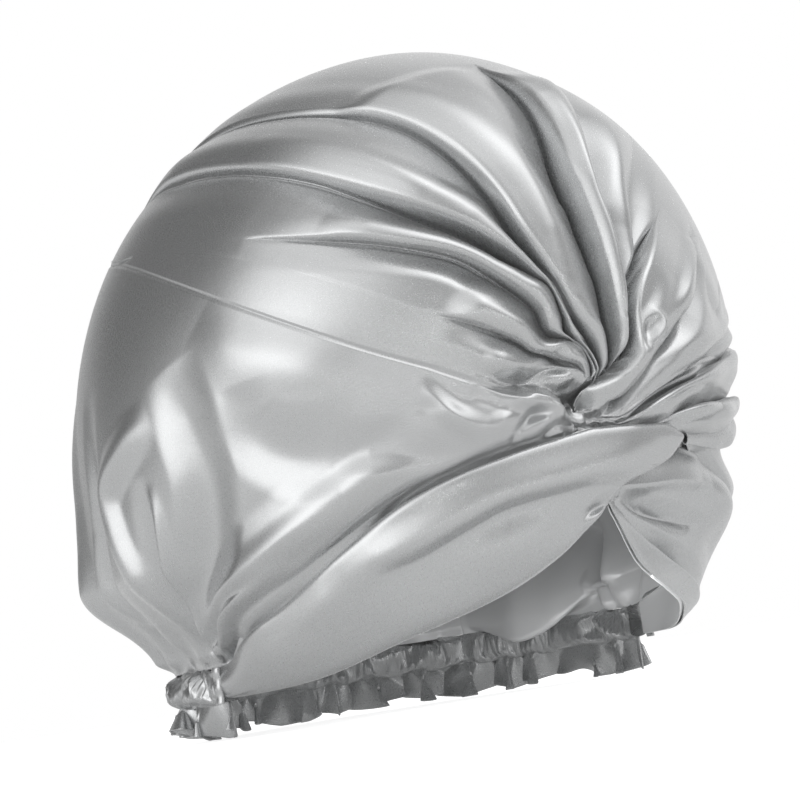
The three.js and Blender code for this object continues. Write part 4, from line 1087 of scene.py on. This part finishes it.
def end_strip(name, node_name, side):
    """A strip over the joint of casing and band, with both its long edges turned in."""
    half_turn, thick = 1.35, 0.35 * MM
    crown_rise, seat, wave, turn_in = 0.9 * MM, 2.1 * MM, 0.15 * MM, 0.9 * MM
    share = np.linspace(0, 1, 24)[:, None]
    cloth = np.linspace(-1.9, 1.9, 47)[None, :]
    across = np.where(np.abs(cloth) > 1, np.sign(cloth) * (2 - np.abs(cloth)), cloth)
    bearing = side * (HEM_END - 0.5 + half_turn * across) + 0 * share
    levels = mix(level_at(CASING_TOP), level_at(CASING_LOW), share) + 0 * across
    off = crown_rise * (1 - across**2) + seat + wave * np.sin(share * 14)
    off -= turn_in * smooth(np.abs(cloth), 0.85, 1.15)
    return sheet_piece(name, node_name, body_points(direction(bearing, levels), off), OUTER, thick)


def roll():
    """The lap's far edge, rolled back on itself."""
    tallest, thickest, seat = 10.5 * MM, 6.6 * MM, -1.5 * MM
    share = np.linspace(0, 1, 70)
    distance = mix(25, 48, share)
    bearing = along(LAP_RIGHT, distance) + 5
    size = mix(0.45, 1, smooth(share, 0, 0.7)) * (1 - 0.35 * smooth(share, 0.8, 1))
    tall, thick = size * tallest / 2, size * thickest / 2
    middle, outside = (body_points(from_knot(distance, bearing), seat + off) for off in (thick, 2 * thick))
    out = unit(outside - middle)
    across = np.cross(unit(np.gradient(middle, axis=0)), out)
    angle = np.radians(np.linspace(235, 525, 40))[:, None, None]
    wave = 1 + 0.06 * np.sin(share * 21)[:, None] * np.sin(angle * 2)
    points = middle + (across * tall[:, None] * np.cos(angle) + out * thick[:, None] * np.sin(angle)) * wave
    return sheet_piece("roll", "twist_roll", points, OUTER)


crown()
back()
lap()
roll()
bands()
crown_lining()
back_lining("near_lining", "back_lining_near", -8, CASING_JOINT - 360)
back_lining("far_lining", "back_lining_far", CASING_JOINT - 0.3, 8)
hem_loop("casing", "hem_casing", casing_section, np.linspace(-HEM_END, HEM_END - 360, 1300), OUTER)
joint_stitches()
hem_loop("elastic", "hem_elastic", elastic_section, np.linspace(-HEM_END - 1, HEM_END - 359, 700), ELASTIC)
ruffle()
end_strip("near_strip", "near_end_strip", -1)
end_strip("far_strip", "far_end_strip", 1)


# Camera, floor and lights
TARGET_HEIGHT = 112 * MM
PHOTO_SIDE = 800


def camera():
    """The photograph's own view, rolled as it is there."""
    azimuth, elevation, roll_angle = math.radians(-30), math.radians(-6), math.radians(9)
    distance, pixel, lift, nearest = 950 * MM, 0.353 * MM, 13, 50 * MM
    back_way = Vector((math.sin(azimuth) * math.cos(elevation), -math.cos(azimuth) * math.cos(elevation),
                       math.sin(elevation)))
    right = (-back_way).cross(Vector((0, 0, 1))).normalized()
    up = right.cross(-back_way)
    c, s = math.cos(roll_angle), math.sin(roll_angle)
    right, up = c * right - s * up, s * right + c * up
    eye = Vector(SHIFT) + Vector((0, 0, TARGET_HEIGHT)) + back_way * distance
    data = bpy.data.cameras.new("camera")
    data.sensor_width = 36
    data.lens = distance / pixel * data.sensor_width / PHOTO_SIDE
    data.shift_y = -lift / PHOTO_SIDE
    data.clip_start = nearest
    made = add_object("camera", data)
    made.matrix_world = Matrix.Translation(eye) @ Matrix((right, up, back_way)).transposed().to_4x4()
    bpy.context.scene.camera = made


def floor():
    """A plain pale floor that glows a little towards the object, and not towards the camera."""
    radius, drop = 4000 * MM, 0.5 * MM
    mesh = bpy.data.meshes.new("floor")
    turn = np.linspace(0, 2 * math.pi, 65)[:-1]
    rim = [(radius * math.cos(a), radius * math.sin(a), -drop) for a in turn]
    mesh.from_pydata(rim, [], [list(range(len(rim)))])
    made = add_object("floor", mesh)
    material, tree, skin = material_of("floor_white")
    seen = node(tree, "ShaderNodeLightPath")
    glow = node(tree, "ShaderNodeMapRange", **{"To Min": 0.22})
    set_skin(skin, Base_Color=(0.68, 0.68, 0.68, 1), Roughness=0.9, Emission_Color=(0.8, 0.8, 0.8, 1))
    join(seen, "Is Camera Ray", glow, "Value")
    join(glow, "Result", skin, "Emission Strength")
    mesh.materials.append(material)


# Area lights: place, aim and size in metres, power in watts, and whether the satin mirrors them
LIGHTS = {
    "left": ((-1.3, -0.1, 0.1), (0, 0, 0.11), (1.0, 0.8), 2.0, True),
    "fill": ((-0.3, -0.9, 0.035), (0, 0, 0.035), (1.2, 0.06), 4, False),
    "opening": ((0.0, -0.07, 0.03), (0.07, 0.06, 0.03), (0.08, 0.03), 0.045, False),
}


def softbox(name, place, aim, size, power, mirrored):
    data = bpy.data.lights.new(name, "AREA")
    data.shape = "RECTANGLE"
    data.size, data.size_y = size
    data.energy = power
    made = add_object(name, data)
    made.location = place
    made.rotation_euler = (Vector(aim) - Vector(place)).to_track_quat("-Z", "Y").to_euler()
    made.visible_glossy = mirrored


# Soft light round the object: azimuth from the front towards +X, elevation, reach in degrees, and strength
SKY_LEVEL = 0.49
SKY = [(-84, 4, 44, 0.8), (-74, 36, 34, 0.4), (-40, 68, 40, 0.5), (42, 58, 38, 0.8), (12, 42, 42, 0.76),
       (120, 20, 55, 0.4), (-150, 36, 50, -0.4), (30, -16, 38, -0.3)]


def world():
    """A studio with bright and dark patches round the object, and white where the camera looks."""
    made = bpy.data.worlds.new("studio")
    made.use_nodes = True
    tree = made.node_tree
    back_ground = tree.nodes["Background"]
    back_ground.inputs["Strength"].default_value = 1.0
    ray = node(tree, "ShaderNodeTexCoord")
    total = None
    for azimuth, elevation, reach, strength in SKY:
        a, e = math.radians(azimuth), math.radians(elevation)
        facing = node(tree, "ShaderNodeVectorMath", operation="DOT_PRODUCT")
        facing.inputs[1].default_value = (math.sin(a) * math.cos(e), -math.cos(a) * math.cos(e), math.sin(e))
        join(ray, "Generated", facing, 0)
        glow = node(tree, "ShaderNodeMapRange", interpolation_type="SMOOTHSTEP",
                    **{"From Min": math.cos(math.radians(reach)), "From Max": 1.0, "To Max": strength})
        join(facing, "Value", glow, "Value")
        gather = node(tree, "ShaderNodeMath")
        gather.inputs[1].default_value = SKY_LEVEL
        join(glow, "Result", gather, 0)
        if total:
            join(total, 0, gather, 1)
        total = gather
    seen = node(tree, "ShaderNodeLightPath")
    tone = node(tree, "ShaderNodeMix", data_type="RGBA", B=(1, 1, 1, 1))
    join(seen, "Is Camera Ray", tone, "Factor")
    join(total, 0, tone, "A")
    join(tone, "Result", back_ground, "Color")
    bpy.context.scene.world = made
    bpy.context.scene.view_settings.view_transform = "Standard"


camera()
floor()
for name, light in LIGHTS.items():
    softbox(name, *light)
world()
